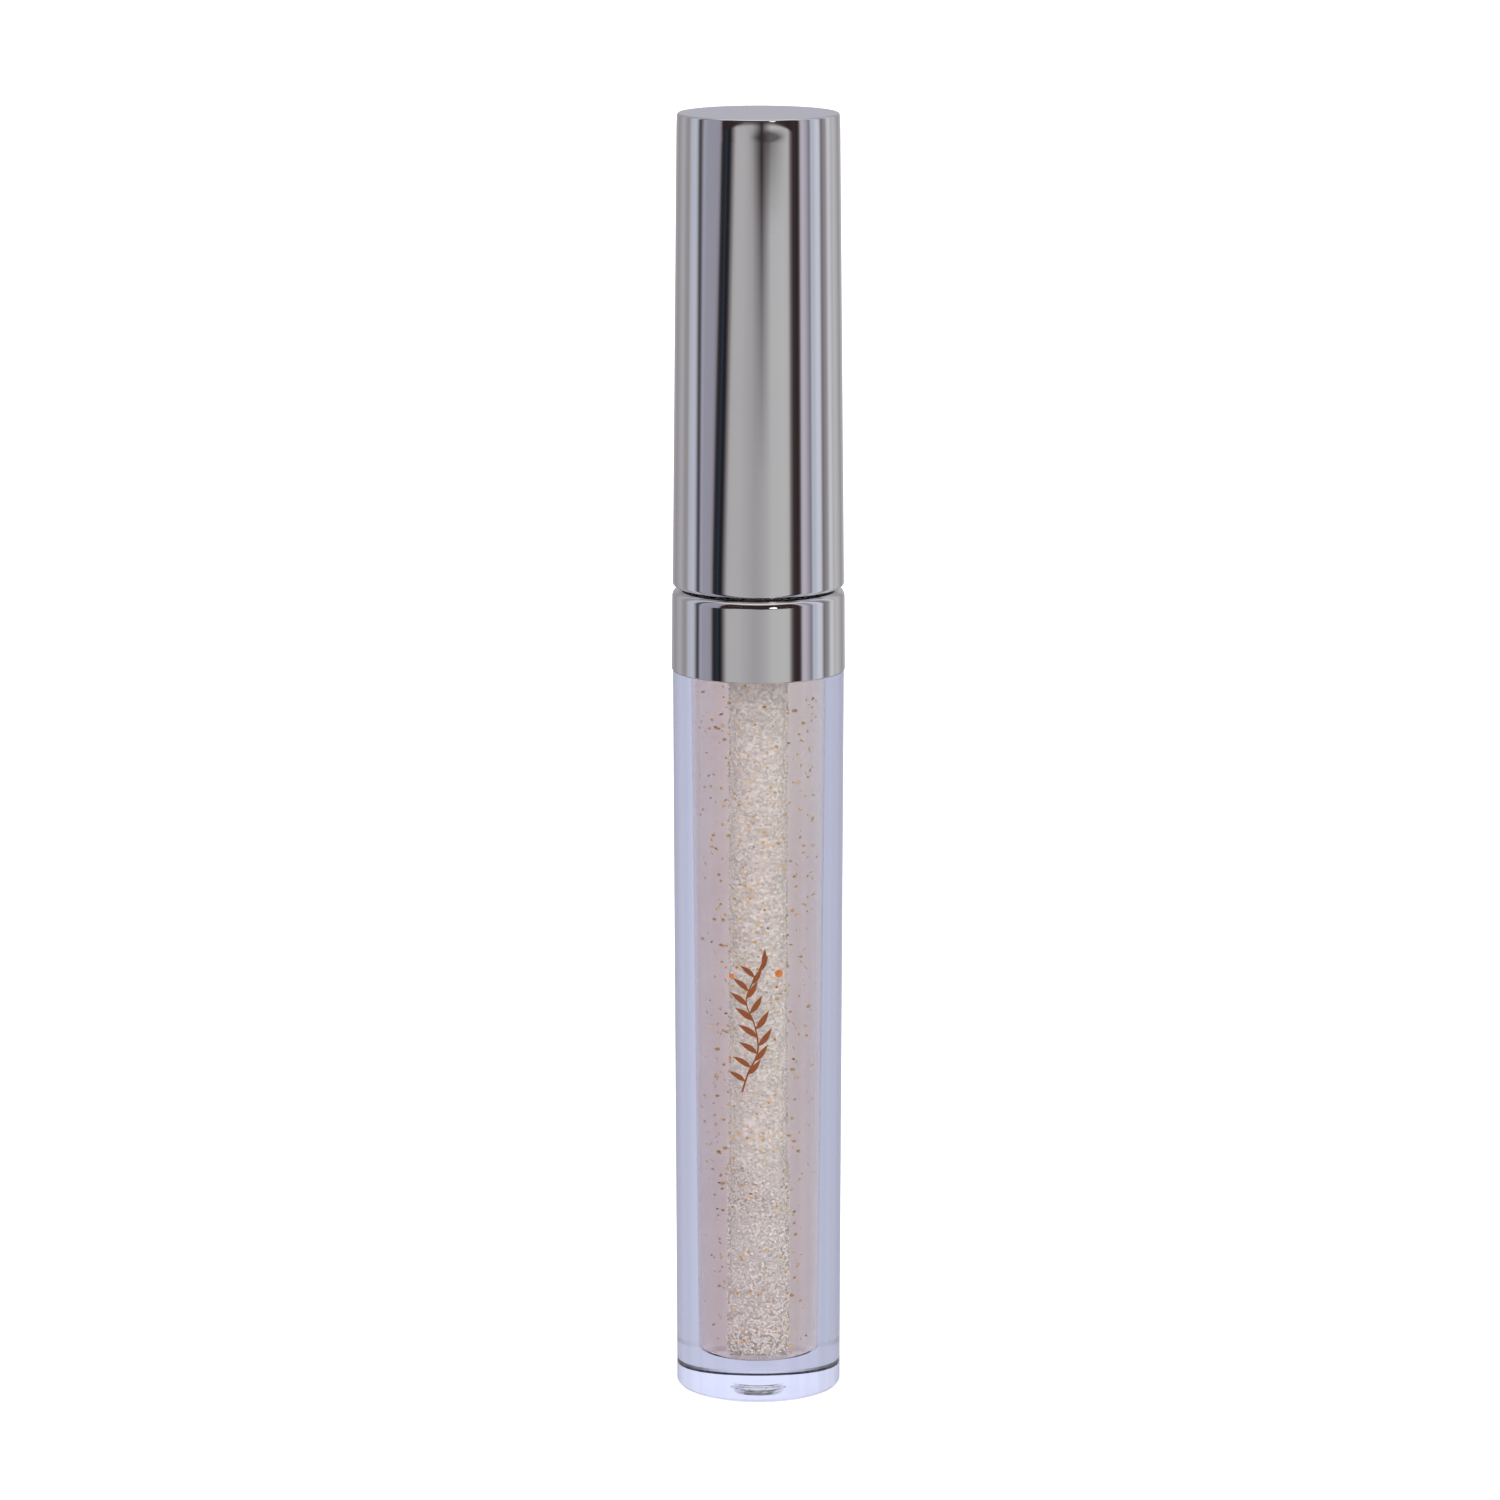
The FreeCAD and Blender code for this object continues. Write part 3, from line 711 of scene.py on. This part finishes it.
# density is in fibres per square millimetre; foot is a fibre's half width and tip its share at the top
flock = {"density": 30.0, "low": 0.26, "high": 0.36, "foot": 0.026, "tip": 0.35, "sides": 4,
         "lean": 0.5, "seed": 5, "skinTop": 17.1, "skinMargin": 0.001, "lidMargin": 0.1, "lidFlat": 0.99}
flockLook = {"colour": "#eef4f2", "second": "#ffffff", "gold": "#f4e2b8", "roughness": 0.4,
             "sheen": 0.3, "speck": 0.18, "speckFrom": 0.35, "speckTo": 0.65, "goldSize": 0.3,
             "goldDetail": 1.0, "goldFrom": 0.68, "goldTo": 0.74, "goldMost": 0.7}


def makeFlockMaterial():
    # cut nylon fibre soaked with gloss: white with warm, slightly shiny tips
    look = flockLook
    material, tree, surface = newMaterial(
        "wetNylonFlock", Roughness=look["roughness"], Sheen_Weight=look["sheen"])
    place = placeInMillimetres(tree)
    speck = remap(tree, noise(tree, place, look["speck"]), look["speckFrom"], look["speckTo"])
    golden = remap(tree, noise(tree, place, look["goldSize"], look["goldDetail"]), look["goldFrom"],
                   look["goldTo"], 0.0, look["goldMost"])
    colour = blendColours(tree, golden, twoTone(tree, speck, look), linearColour(look["gold"]))
    tree.links.new(colour, surface.inputs["Base Color"])
    return material


def flockTree(values):
    # tapered fibres that stand on a skin and lean a little each its own way
    tree, names, given = newTree("flockOnTheCore", values, True)
    seed = given["Seed"]
    spread = addNode(tree, "GeometryNodeDistributePointsOnFaces", {
        "Mesh": given["Geometry"], "Density": given["Density"], "Seed": seed})
    turned = leanAway(tree, spread.outputs["Normal"], given["Lean"], seed, 1, False)
    length = randomFloat(tree, given["Low"], given["High"], seed, 3)
    scale = addNode(tree, "ShaderNodeCombineXYZ", {
        "X": given["Foot"], "Y": given["Foot"], "Z": length})
    fibre = addNode(tree, "GeometryNodeMeshCone", {
        "Vertices": given["Sides"], "Radius Top": given["Tip"], "Radius Bottom": 1.0,
        "Depth": 1.0}, fill_type="NGON")
    placeCopies(tree, spread.outputs["Points"], fibre.outputs["Mesh"], turned, scale.outputs[0],
                given["Material"])
    return tree, names


def coreSkin():
    # the core's outside below the stem, where the fibres stand, without its flat lid
    source = nodes["applicator_core"].data
    top = flock["skinTop"] * mm
    vertices = [tuple(vertex.co) for vertex in source.vertices]
    faces = []
    for polygon in source.polygons:
        if max(vertices[index][2] for index in polygon.vertices) >= top + flock["skinMargin"] * mm:
            continue
        level = abs(polygon.normal.z) >= flock["lidFlat"]
        if not level or polygon.center.z < top - flock["lidMargin"] * mm:
            faces.append(tuple(polygon.vertices))
    mesh = bpy.data.meshes.new("coreSkin")
    mesh.from_pydata(vertices, [], faces)
    return mesh


def makeFlock():
    values = {"Density": flock["density"] / mm / mm, "Low": flock["low"] * mm,
              "High": flock["high"] * mm, "Foot": flock["foot"] * mm, "Tip": flock["tip"],
              "Sides": flock["sides"], "Lean": flock["lean"], "Seed": flock["seed"],
              "Material": makeFlockMaterial()}
    tree, names = flockTree(values)
    piece = bakeNodes("flockFibres", tree, names, values, coreSkin())
    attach(piece, "wand_body")
    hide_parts("applicator_flock")


makeFlock()
print("flock made")


# accents are dots: across, up and radius; leaf places and sizes are shares along the stem
sprig = {
    "height": 0.022, "sink": 0.01, "centre": 36.9, "shift": -0.55, "base": 7.85, "slope": 0.25 / 69.96,
    "stem": [(-1.0, -6.3), (-0.4, -4.4), (0.5, -2.3), (0.2, 0.2), (-0.6, 2.5), (0.1, 4.6), (1.1, 6.2)],
    "stemWidth": 0.2, "stemThin": 0.6, "stemSteps": 48, "lookAhead": 0.01,
    "leaves": 17, "leafLength": 2.2, "leafWidth": 0.6, "leafSteps": 10, "leafColumns": (1, 0.5, 0, -0.5, -1),
    "leafEnd": 0.015, "leafFull": 0.85, "leafBend": 0.18, "leafFrom": 0.1, "leafSpan": 0.86,
    "leafLargest": 0.45, "leafFall": 0.45, "leafLean": 52, "leafClose": 14, "lastLean": 72,
    "accents": [(-2.0, 4.9, 0.26), (-1.5, 5.8, 0.14), (-2.6, 5.7, 0.12), (2.5, 5.2, 0.38), (2.3, 3.9, 0.14),
                (2.1, -1.2, 0.13), (-2.2, -3.0, 0.14)],
    "dotSteps": 8, "dotEnd": 0.985, "dotLeast": 0.03,
}
inkLook = {
    "brownPrintInk": {"colour": "#96501e", "second": "#753916"},
    "copperPrintInk": {"colour": "#f08a38", "second": "#96501e"},
}
inkSurface = {"roughness": 0.35, "cloud": 0.25, "detail": 3.0}


def makeInk(name):
    # screen printed ink: opaque and slightly glossy, a little uneven from the mesh
    material, tree, surface = newMaterial(name, Roughness=inkSurface["roughness"])
    cloud = noise(tree, placeInMillimetres(tree), inkSurface["cloud"], inkSurface["detail"])
    tree.links.new(twoTone(tree, cloud, inkLook[name]), surface.inputs["Base Color"])
    return material


def onBottle(across, up, lift):
    v = sprig
    height = v["centre"] + up
    radius = v["base"] + v["slope"] * height + lift
    angle = (across + v["shift"]) / radius - math.pi / 2
    return (radius * math.cos(angle) * mm, radius * math.sin(angle) * mm, height * mm)


def addStrip(vertices, faces, slots, rows, slot):
    # rows of flat points become a thin closed solid that follows the bottle
    start = len(vertices)
    width = len(rows[0])
    for lift in (sprig["height"], -sprig["sink"]):
        for row in rows:
            vertices.extend(onBottle(x, y, lift) for x, y in row)
    size = len(rows) * width

    def at(layer, row, column):
        return start + layer * size + row * width + column

    for row in range(len(rows) - 1):
        for column in range(width - 1):
            faces.append((at(0, row, column), at(0, row, column + 1),
                          at(0, row + 1, column + 1), at(0, row + 1, column)))
            faces.append((at(1, row, column), at(1, row + 1, column),
                          at(1, row + 1, column + 1), at(1, row, column + 1)))
        for column, flip in ((0, False), (width - 1, True)):
            side = (at(0, row, column), at(0, row + 1, column), at(1, row + 1, column),
                    at(1, row, column))
            faces.append(side[::-1] if flip else side)
    for row, flip in ((0, False), (len(rows) - 1, True)):
        for column in range(width - 1):
            side = (at(0, row, column), at(0, row, column + 1), at(1, row, column + 1),
                    at(1, row, column))
            faces.append(side if not flip else side[::-1])
    slots.extend([slot] * (len(faces) - len(slots)))


def curvePoint(points, share):
    # Catmull-Rom curve through the points
    place = share * (len(points) - 1)
    index = min(int(place), len(points) - 2)
    local = place - index
    p0 = points[max(index - 1, 0)]
    p1 = points[index]
    p2 = points[index + 1]
    p3 = points[min(index + 2, len(points) - 1)]
    return tuple(0.5 * (2 * b + (c - a) * local + (2 * a - 5 * b + 4 * c - d) * local ** 2
                        + (3 * b - a - 3 * c + d) * local ** 3)
                 for a, b, c, d in zip(p0, p1, p2, p3))


def stemRows():
    v = sprig
    rows = []
    for step in range(v["stemSteps"] + 1):
        share = step / v["stemSteps"]
        x, y = curvePoint(v["stem"], share)
        aheadX, aheadY = curvePoint(v["stem"], min(1.0, share + v["lookAhead"]))
        backX, backY = curvePoint(v["stem"], max(0.0, share - v["lookAhead"]))
        length = math.hypot(aheadX - backX, aheadY - backY)
        half = v["stemWidth"] / 2 * (1.0 - v["stemThin"] * share)
        sideX = -(aheadY - backY) / length * half
        sideY = (aheadX - backX) / length * half
        rows.append([(x + sideX, y + sideY), (x, y), (x - sideX, y - sideY)])
    return rows


def leafRows(root, angle, length, width):
    v = sprig
    rows = []
    direction = (math.cos(angle), math.sin(angle))
    for step in range(v["leafSteps"] + 1):
        share = step / v["leafSteps"]
        kept = min(1 - v["leafEnd"], max(v["leafEnd"], share))
        half = width / 2 * math.sin(math.pi * kept ** v["leafFull"])
        bend = v["leafBend"] * length * share * share
        middle = (root[0] + direction[0] * length * share - direction[1] * bend,
                  root[1] + direction[1] * length * share + direction[0] * bend)
        rows.append([(middle[0] - direction[1] * half * side, middle[1] + direction[0] * half * side)
                     for side in v["leafColumns"]])
    return rows


def dotRows(x, y, radius):
    v = sprig
    rows = []
    for step in range(v["dotSteps"] + 1):
        up = -v["dotEnd"] + 2 * v["dotEnd"] * step / v["dotSteps"]
        half = radius * math.sqrt(max(v["dotLeast"], 1 - up * up))
        rows.append([(x + half * side, y + radius * up) for side in (-1, 0, 1)])
    return rows


def makeSprig():
    v = sprig
    vertices = []
    faces = []
    slots = []
    addStrip(vertices, faces, slots, stemRows(), 0)
    last = v["leaves"] - 1
    for number in range(v["leaves"]):
        share = v["leafFrom"] + v["leafSpan"] * number / last
        side = 1 if number % 2 else -1
        size = 1.0 - v["leafFall"] * abs(share - v["leafLargest"])
        lean = 90 - side * (v["leafLean"] - v["leafClose"] * share)
        if number == last:
            lean = v["lastLean"]
        leaf = leafRows(curvePoint(v["stem"], share), math.radians(lean),
                        v["leafLength"] * size, v["leafWidth"] * size)
        addStrip(vertices, faces, slots, leaf, 0)
    for accent in v["accents"]:
        addStrip(vertices, faces, slots, dotRows(*accent), 1)
    inks = [makeInk(name) for name in inkLook]
    piece = newSolid("printedSprig", vertices, faces, slots, inks)
    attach(piece, "bottle_body")


makeSprig()
print("sprig printed")


studio = {
    # azimuth in degrees from the front, towards the right, and the colour of that strip
    "leftStrips": [
        (-180, "#b4b4bf"), (-153, "#a19c9d"), (-148, "#989394"), (-129, "#b1afb6"), (-118, "#999697"),
        (-113, "#9c989a"), (-108, "#b8bac5"), (-99, "#c0c4d1"), (-95.5, "#b4b7c3"), (-92.5, "#86868f"),
        (-89.5, "#3f3a3e"), (-87, "#646066"), (-84, "#a4a6b6"), (-80, "#9b9ba8"), (-68.5, "#9a98a5"),
        (-66, "#8a8790"), (-63, "#3a3739"), (-60, "#25262c"), (-57, "#2f3540"), (-53, "#1c1e22"),
        (-50.5, "#3a3436"), (-47, "#7e7a7c"), (-43, "#b2b0b1"), (-38, "#b6b5b5"), (-26, "#b5b3b4"),
        (-14, "#acaaab"), (-5, "#a5a3a5"), (0, "#a7a5a7"),
    ],
    "rightStrips": [
        (0, "#a7a5a7"), (6, "#abaaab"), (12, "#b3b1b2"), (18, "#bcbcbc"), (34, "#bfbfbf"),
        (40.5, "#bdbcbc"), (42.5, "#a8a5a6"), (45.5, "#6a6464"), (49, "#3b3233"), (56, "#302829"),
        (58.5, "#5d5656"), (61, "#b1acb5"), (64, "#bfbbc6"), (67.5, "#b7b1bc"), (72, "#9c9aa4"),
        (75, "#827f88"), (77, "#9c9ca8"), (79, "#bcc0cf"), (83, "#babfcb"), (87, "#cccfdb"),
        (92.5, "#ced3df"), (95.5, "#b0b0b8"), (98, "#777376"), (108, "#9d9a9b"), (112.5, "#c8cacf"),
        (117, "#ced0d6"), (122, "#b9b7b9"), (130, "#c0c0c2"), (149, "#9b9798"), (160, "#b6b4ba"),
        (180, "#b4b4bf"),
    ],
    "panelTop": -0.3, "panelFall": 1.9, "panelSoft": 0.5,
    "ceilingFrom": 50.0, "ceilingTo": 62.0, "ceiling": "#e9e2dc",
    "gap": "#33292a", "blotMiddle": 14.0, "blotHalf": 28.0, "blotHeight": -2.9, "blotRise": 2.0,
    "blotDark": 1.7, "blotMost": 0.8, "gapHalf": 47.0,
    "barFrom": -7.4, "barTo": -4.3, "barMiddle": 4.5, "barHalf": 13.0, "barBend": 1.2,
    "barDark": 1.0, "gapSoft": 6.0, "panelBend": 3.0,
    "floorSize": 9.0, "floorDrop": 0.03, "floorGlow": 0.68, "floorColour": "#e6e6ea",
    "floorRoughness": 0.9,
    # what lights the object and shows through it: the cosine of the azimuth from behind, and its level
    "dome": [(0.0, 1.0), (0.06, 0.95), (0.2, 0.8), (0.35, 0.76), (0.5, 0.84), (1.0, 1.15)],
    "domeTint": "#fafaff", "domeSlope": 0.05, "white": (1.0, 1.0, 1.0, 1.0), "softLight": 3.7,
    # light on a matt surface in the open, and on one behind this many wet or clear surfaces
    "airLight": 0.5, "deepFrom": 4.5, "anyDepth": 0.5,
    "backdropFrom": -3.0, "backdropTo": 8.0, "backdrop": 1.42,
    "shadeFrom": -70.0, "shadeTo": -24.0, "shade": 0.2,
    # azimuth, elevation, half width and level of the lamp beside the camera, which mirrors see,
    # and of the soft boxes that glint on the flakes
    "lamp": (20.0, 12.0, 5.5, 5.0),
    "boxes": [(-34.0, 34.0, 13.0, 7.0), (36.0, 22.0, 10.0, 6.0)],
    # how far the left flag leans in towards the top, and where along the azimuth it does
    "lean": 12.0, "leanFrom": (-88.0, -58.0), "leanTo": (-32.0, -6.0), "leanLow": -8.4,
    "leanHigh": -4.0,
}


def colourRamp(tree, factor, marks):
    ramp = addNode(tree, "ShaderNodeValToRGB", {"Fac": factor})
    stops = ramp.color_ramp.elements
    for number, (place, colour) in enumerate(marks):
        if number == 0:
            stop = stops[0]
        elif number == len(marks) - 1:
            stop = stops[len(stops) - 1]
        else:
            stop = stops.new(place)
        stop.position = place
        stop.color = colour
    return ramp.outputs["Color"]


def stripRamp(tree, degrees, strips):
    start = strips[0][0]
    span = strips[-1][0] - start
    share = remap(tree, degrees, start, start + span)
    return colourRamp(tree, share, [((angle - start) / span, linearColour(colour))
                                    for angle, colour in strips])


def distanceFrom(tree, value, middle):
    return arithmetic(tree, "ABSOLUTE", arithmetic(tree, "SUBTRACT", value, middle))


def addGrey(tree, colour, level):
    grey = addNode(tree, "ShaderNodeCombineXYZ", {"X": level, "Y": level, "Z": level})
    return addNode(tree, "ShaderNodeVectorMath", {0: colour, 1: grey.outputs[0]},
                   operation="ADD").outputs["Vector"]


def scaleColour(tree, colour, level):
    return addNode(tree, "ShaderNodeVectorMath", {0: colour, "Scale": level},
                   operation="SCALE").outputs["Vector"]


def spotLevel(tree, way, azimuth, elevation, half, power):
    # a round light in the surroundings, full in its middle and soft at its edge
    turn = math.radians(azimuth)
    rise = math.radians(elevation)
    towards = (math.sin(turn) * math.cos(rise), -math.cos(turn) * math.cos(rise), math.sin(rise))
    near = addNode(tree, "ShaderNodeVectorMath", {0: way, 1: towards},
                   operation="DOT_PRODUCT").outputs["Value"]
    edge = math.cos(math.radians(half))
    return remap(tree, near, edge, (1 + edge) / 2, 0.0, power)


def lookingWays(tree):
    way = addNode(tree, "ShaderNodeTexCoord").outputs["Generated"]
    parts = addNode(tree, "ShaderNodeSeparateXYZ", {0: way}).outputs
    back = product(tree, parts["Y"], -1.0)
    azimuth = arithmetic(tree, "ARCTAN2", parts["X"], back)
    return {"way": way, "right": parts["X"], "back": back,
            "degrees": product(tree, azimuth, math.degrees(1)),
            "elevation": product(tree, arithmetic(tree, "ARCSINE", parts["Z"]), math.degrees(1))}


def mirroredPanels(tree, sky):
    v = studio
    degrees = sky["degrees"]
    elevation = sky["elevation"]
    rise = remap(tree, elevation, v["leanLow"], v["leanHigh"], 0.0, v["lean"])
    begins = remap(tree, degrees, *v["leanFrom"])
    ends = remap(tree, degrees, *v["leanTo"], 1.0, 0.0)
    leaning = arithmetic(tree, "SUBTRACT", degrees, product(tree, rise, product(tree, begins, ends)))
    onRight = arithmetic(tree, "GREATER_THAN", degrees, 0.0)
    colour = blendColours(tree, onRight, stripRamp(tree, leaning, v["leftStrips"]),
                          stripRamp(tree, degrees, v["rightStrips"]))
    away = arithmetic(tree, "ABSOLUTE", degrees)
    # dark gap above the front panel
    toFlag = arithmetic(tree, "POWER", remap(tree, away, 0.0, v["gapHalf"]),
                        v["panelBend"])
    drop = arithmetic(tree, "MULTIPLY_ADD", toFlag, v["panelFall"], -v["panelTop"])
    overPanel = remap(tree, arithmetic(tree, "ADD", elevation, drop), 0.0, v["panelSoft"])
    inFront = remap(tree, away, v["gapHalf"], v["gapHalf"] + v["gapSoft"], 1.0, 0.0)
    gapColour = linearColour(v["gap"])
    colour = blendColours(tree, product(tree, overPanel, inFront), colour, gapColour)
    # small dark object that shows just under that gap
    blotAcross = remap(tree, distanceFrom(tree, degrees, v["blotMiddle"]), 0.0,
                       v["blotHalf"], 1.0, 0.0)
    blotUp = remap(tree, distanceFrom(tree, elevation, v["blotHeight"]), 0.0,
                   v["blotRise"], 1.0, 0.0)
    blot = product(tree, product(tree, blotAcross, blotUp), v["blotDark"])
    colour = blendColours(tree, arithmetic(tree, "MINIMUM", blot, v["blotMost"]), colour, gapColour)
    # soft dark bar that fades down the front panel
    barAcross = remap(tree, distanceFrom(tree, degrees, v["barMiddle"]), 0.0, v["barHalf"],
                      1.0, 0.0)
    barDown = remap(tree, elevation, v["barFrom"], v["barTo"], 0.0, v["barDark"])
    bar = product(tree, arithmetic(tree, "POWER", barAcross, v["barBend"]), barDown)
    colour = blendColours(tree, bar, colour, gapColour)
    # pale ceiling, and a small lamp beside the camera
    overhead = remap(tree, elevation, v["ceilingFrom"], v["ceilingTo"])
    colour = blendColours(tree, overhead, colour, linearColour(v["ceiling"]))
    return addGrey(tree, colour, spotLevel(tree, sky["way"], *v["lamp"]))


def domeColour(tree, sky):
    v = studio
    fromBehind = remap(tree, sky["back"], -1.0, 1.0)
    level = colourRamp(tree, fromBehind, [(place, (value, value, value, 1.0))
                                          for place, value in v["dome"]])
    sideways = arithmetic(tree, "MULTIPLY_ADD", sky["right"], v["domeSlope"], 1.0)
    upward = remap(tree, sky["elevation"], v["backdropFrom"], v["backdropTo"], 1.0,
                   v["backdrop"])
    underneath = remap(tree, sky["elevation"], v["shadeFrom"], v["shadeTo"],
                       v["shade"], 1.0)
    domeLevel = product(tree, level, product(tree, product(tree, sideways, upward), underneath))
    return scaleColour(tree, linearColour(v["domeTint"])[:3], domeLevel)


def makeWorld():
    # mirrors see the panels; everything else is lit by the soft pale dome that they stand in
    world = bpy.data.worlds.new("studioPanels")
    bpy.context.scene.world = world
    world.use_nodes = True
    tree = world.node_tree
    tree.nodes.clear()
    sky = lookingWays(tree)
    seen = addNode(tree, "ShaderNodeLightPath").outputs
    dome = domeColour(tree, sky)
    immersed = arithmetic(tree, "GREATER_THAN", seen["Transmission Depth"], studio["deepFrom"])
    softLevel = arithmetic(tree, "MULTIPLY_ADD", immersed, studio["softLight"] - studio["airLight"],
                           studio["airLight"])
    boxes = 0.0
    for box in studio["boxes"]:
        boxes = arithmetic(tree, "ADD", spotLevel(tree, sky["way"], *box), boxes)
    scattered = arithmetic(tree, "GREATER_THAN", seen["Diffuse Depth"], studio["anyDepth"])
    around = blendColours(tree, scattered, addGrey(tree, dome, boxes),
                          scaleColour(tree, dome, softLevel))
    through = arithmetic(tree, "SUBTRACT", 1.0, seen["Is Transmission Ray"])
    mirrored = product(tree, seen["Is Glossy Ray"], through)
    around = blendColours(tree, mirrored, around, mirroredPanels(tree, sky))
    final = blendColours(tree, seen["Is Camera Ray"], around, studio["white"])
    glow = addNode(tree, "ShaderNodeBackground", {"Color": final, "Strength": 1.0})
    addNode(tree, "ShaderNodeOutputWorld", {"Surface": glow.outputs["Background"]})


def makeFloor():
    # pale seamless paper that only the camera and matt surfaces see
    half = studio["floorSize"] / 2
    down = -studio["floorDrop"] * mm
    corners = [(-half, -half, down), (half, -half, down), (half, half, down), (-half, half, down)]
    material = newMaterial(
        "paleSweep", Roughness=studio["floorRoughness"], Base_Color=linearColour(studio["floorColour"]),
        Emission_Color=studio["white"], Emission_Strength=studio["floorGlow"])[0]
    floor = newSolid("studioFloor", corners, [(0, 1, 2, 3)], [0], [material])
    floor.visible_glossy = False
    floor.visible_transmission = False


# the tilt is measured from straight down
camera = {"place": (0.0, -0.5681, 0.1733), "tilt": 78.92, "lens": 146.4, "sensor": 36.0,
          "shift": -0.0056, "near": 0.05, "far": 20.0}


def makeCamera():
    data = bpy.data.cameras.new("productCamera")
    data.lens = camera["lens"]
    data.sensor_width = camera["sensor"]
    data.shift_x = camera["shift"]
    data.clip_start = camera["near"]
    data.clip_end = camera["far"]
    eye = newPiece("productCamera", data)
    eye.location = camera["place"]
    eye.rotation_euler = (math.radians(camera["tilt"]), 0, 0)
    bpy.context.scene.camera = eye


makeWorld()
makeFloor()
makeCamera()
bpy.context.scene.view_settings.view_transform = "Standard"
print("studio ready")
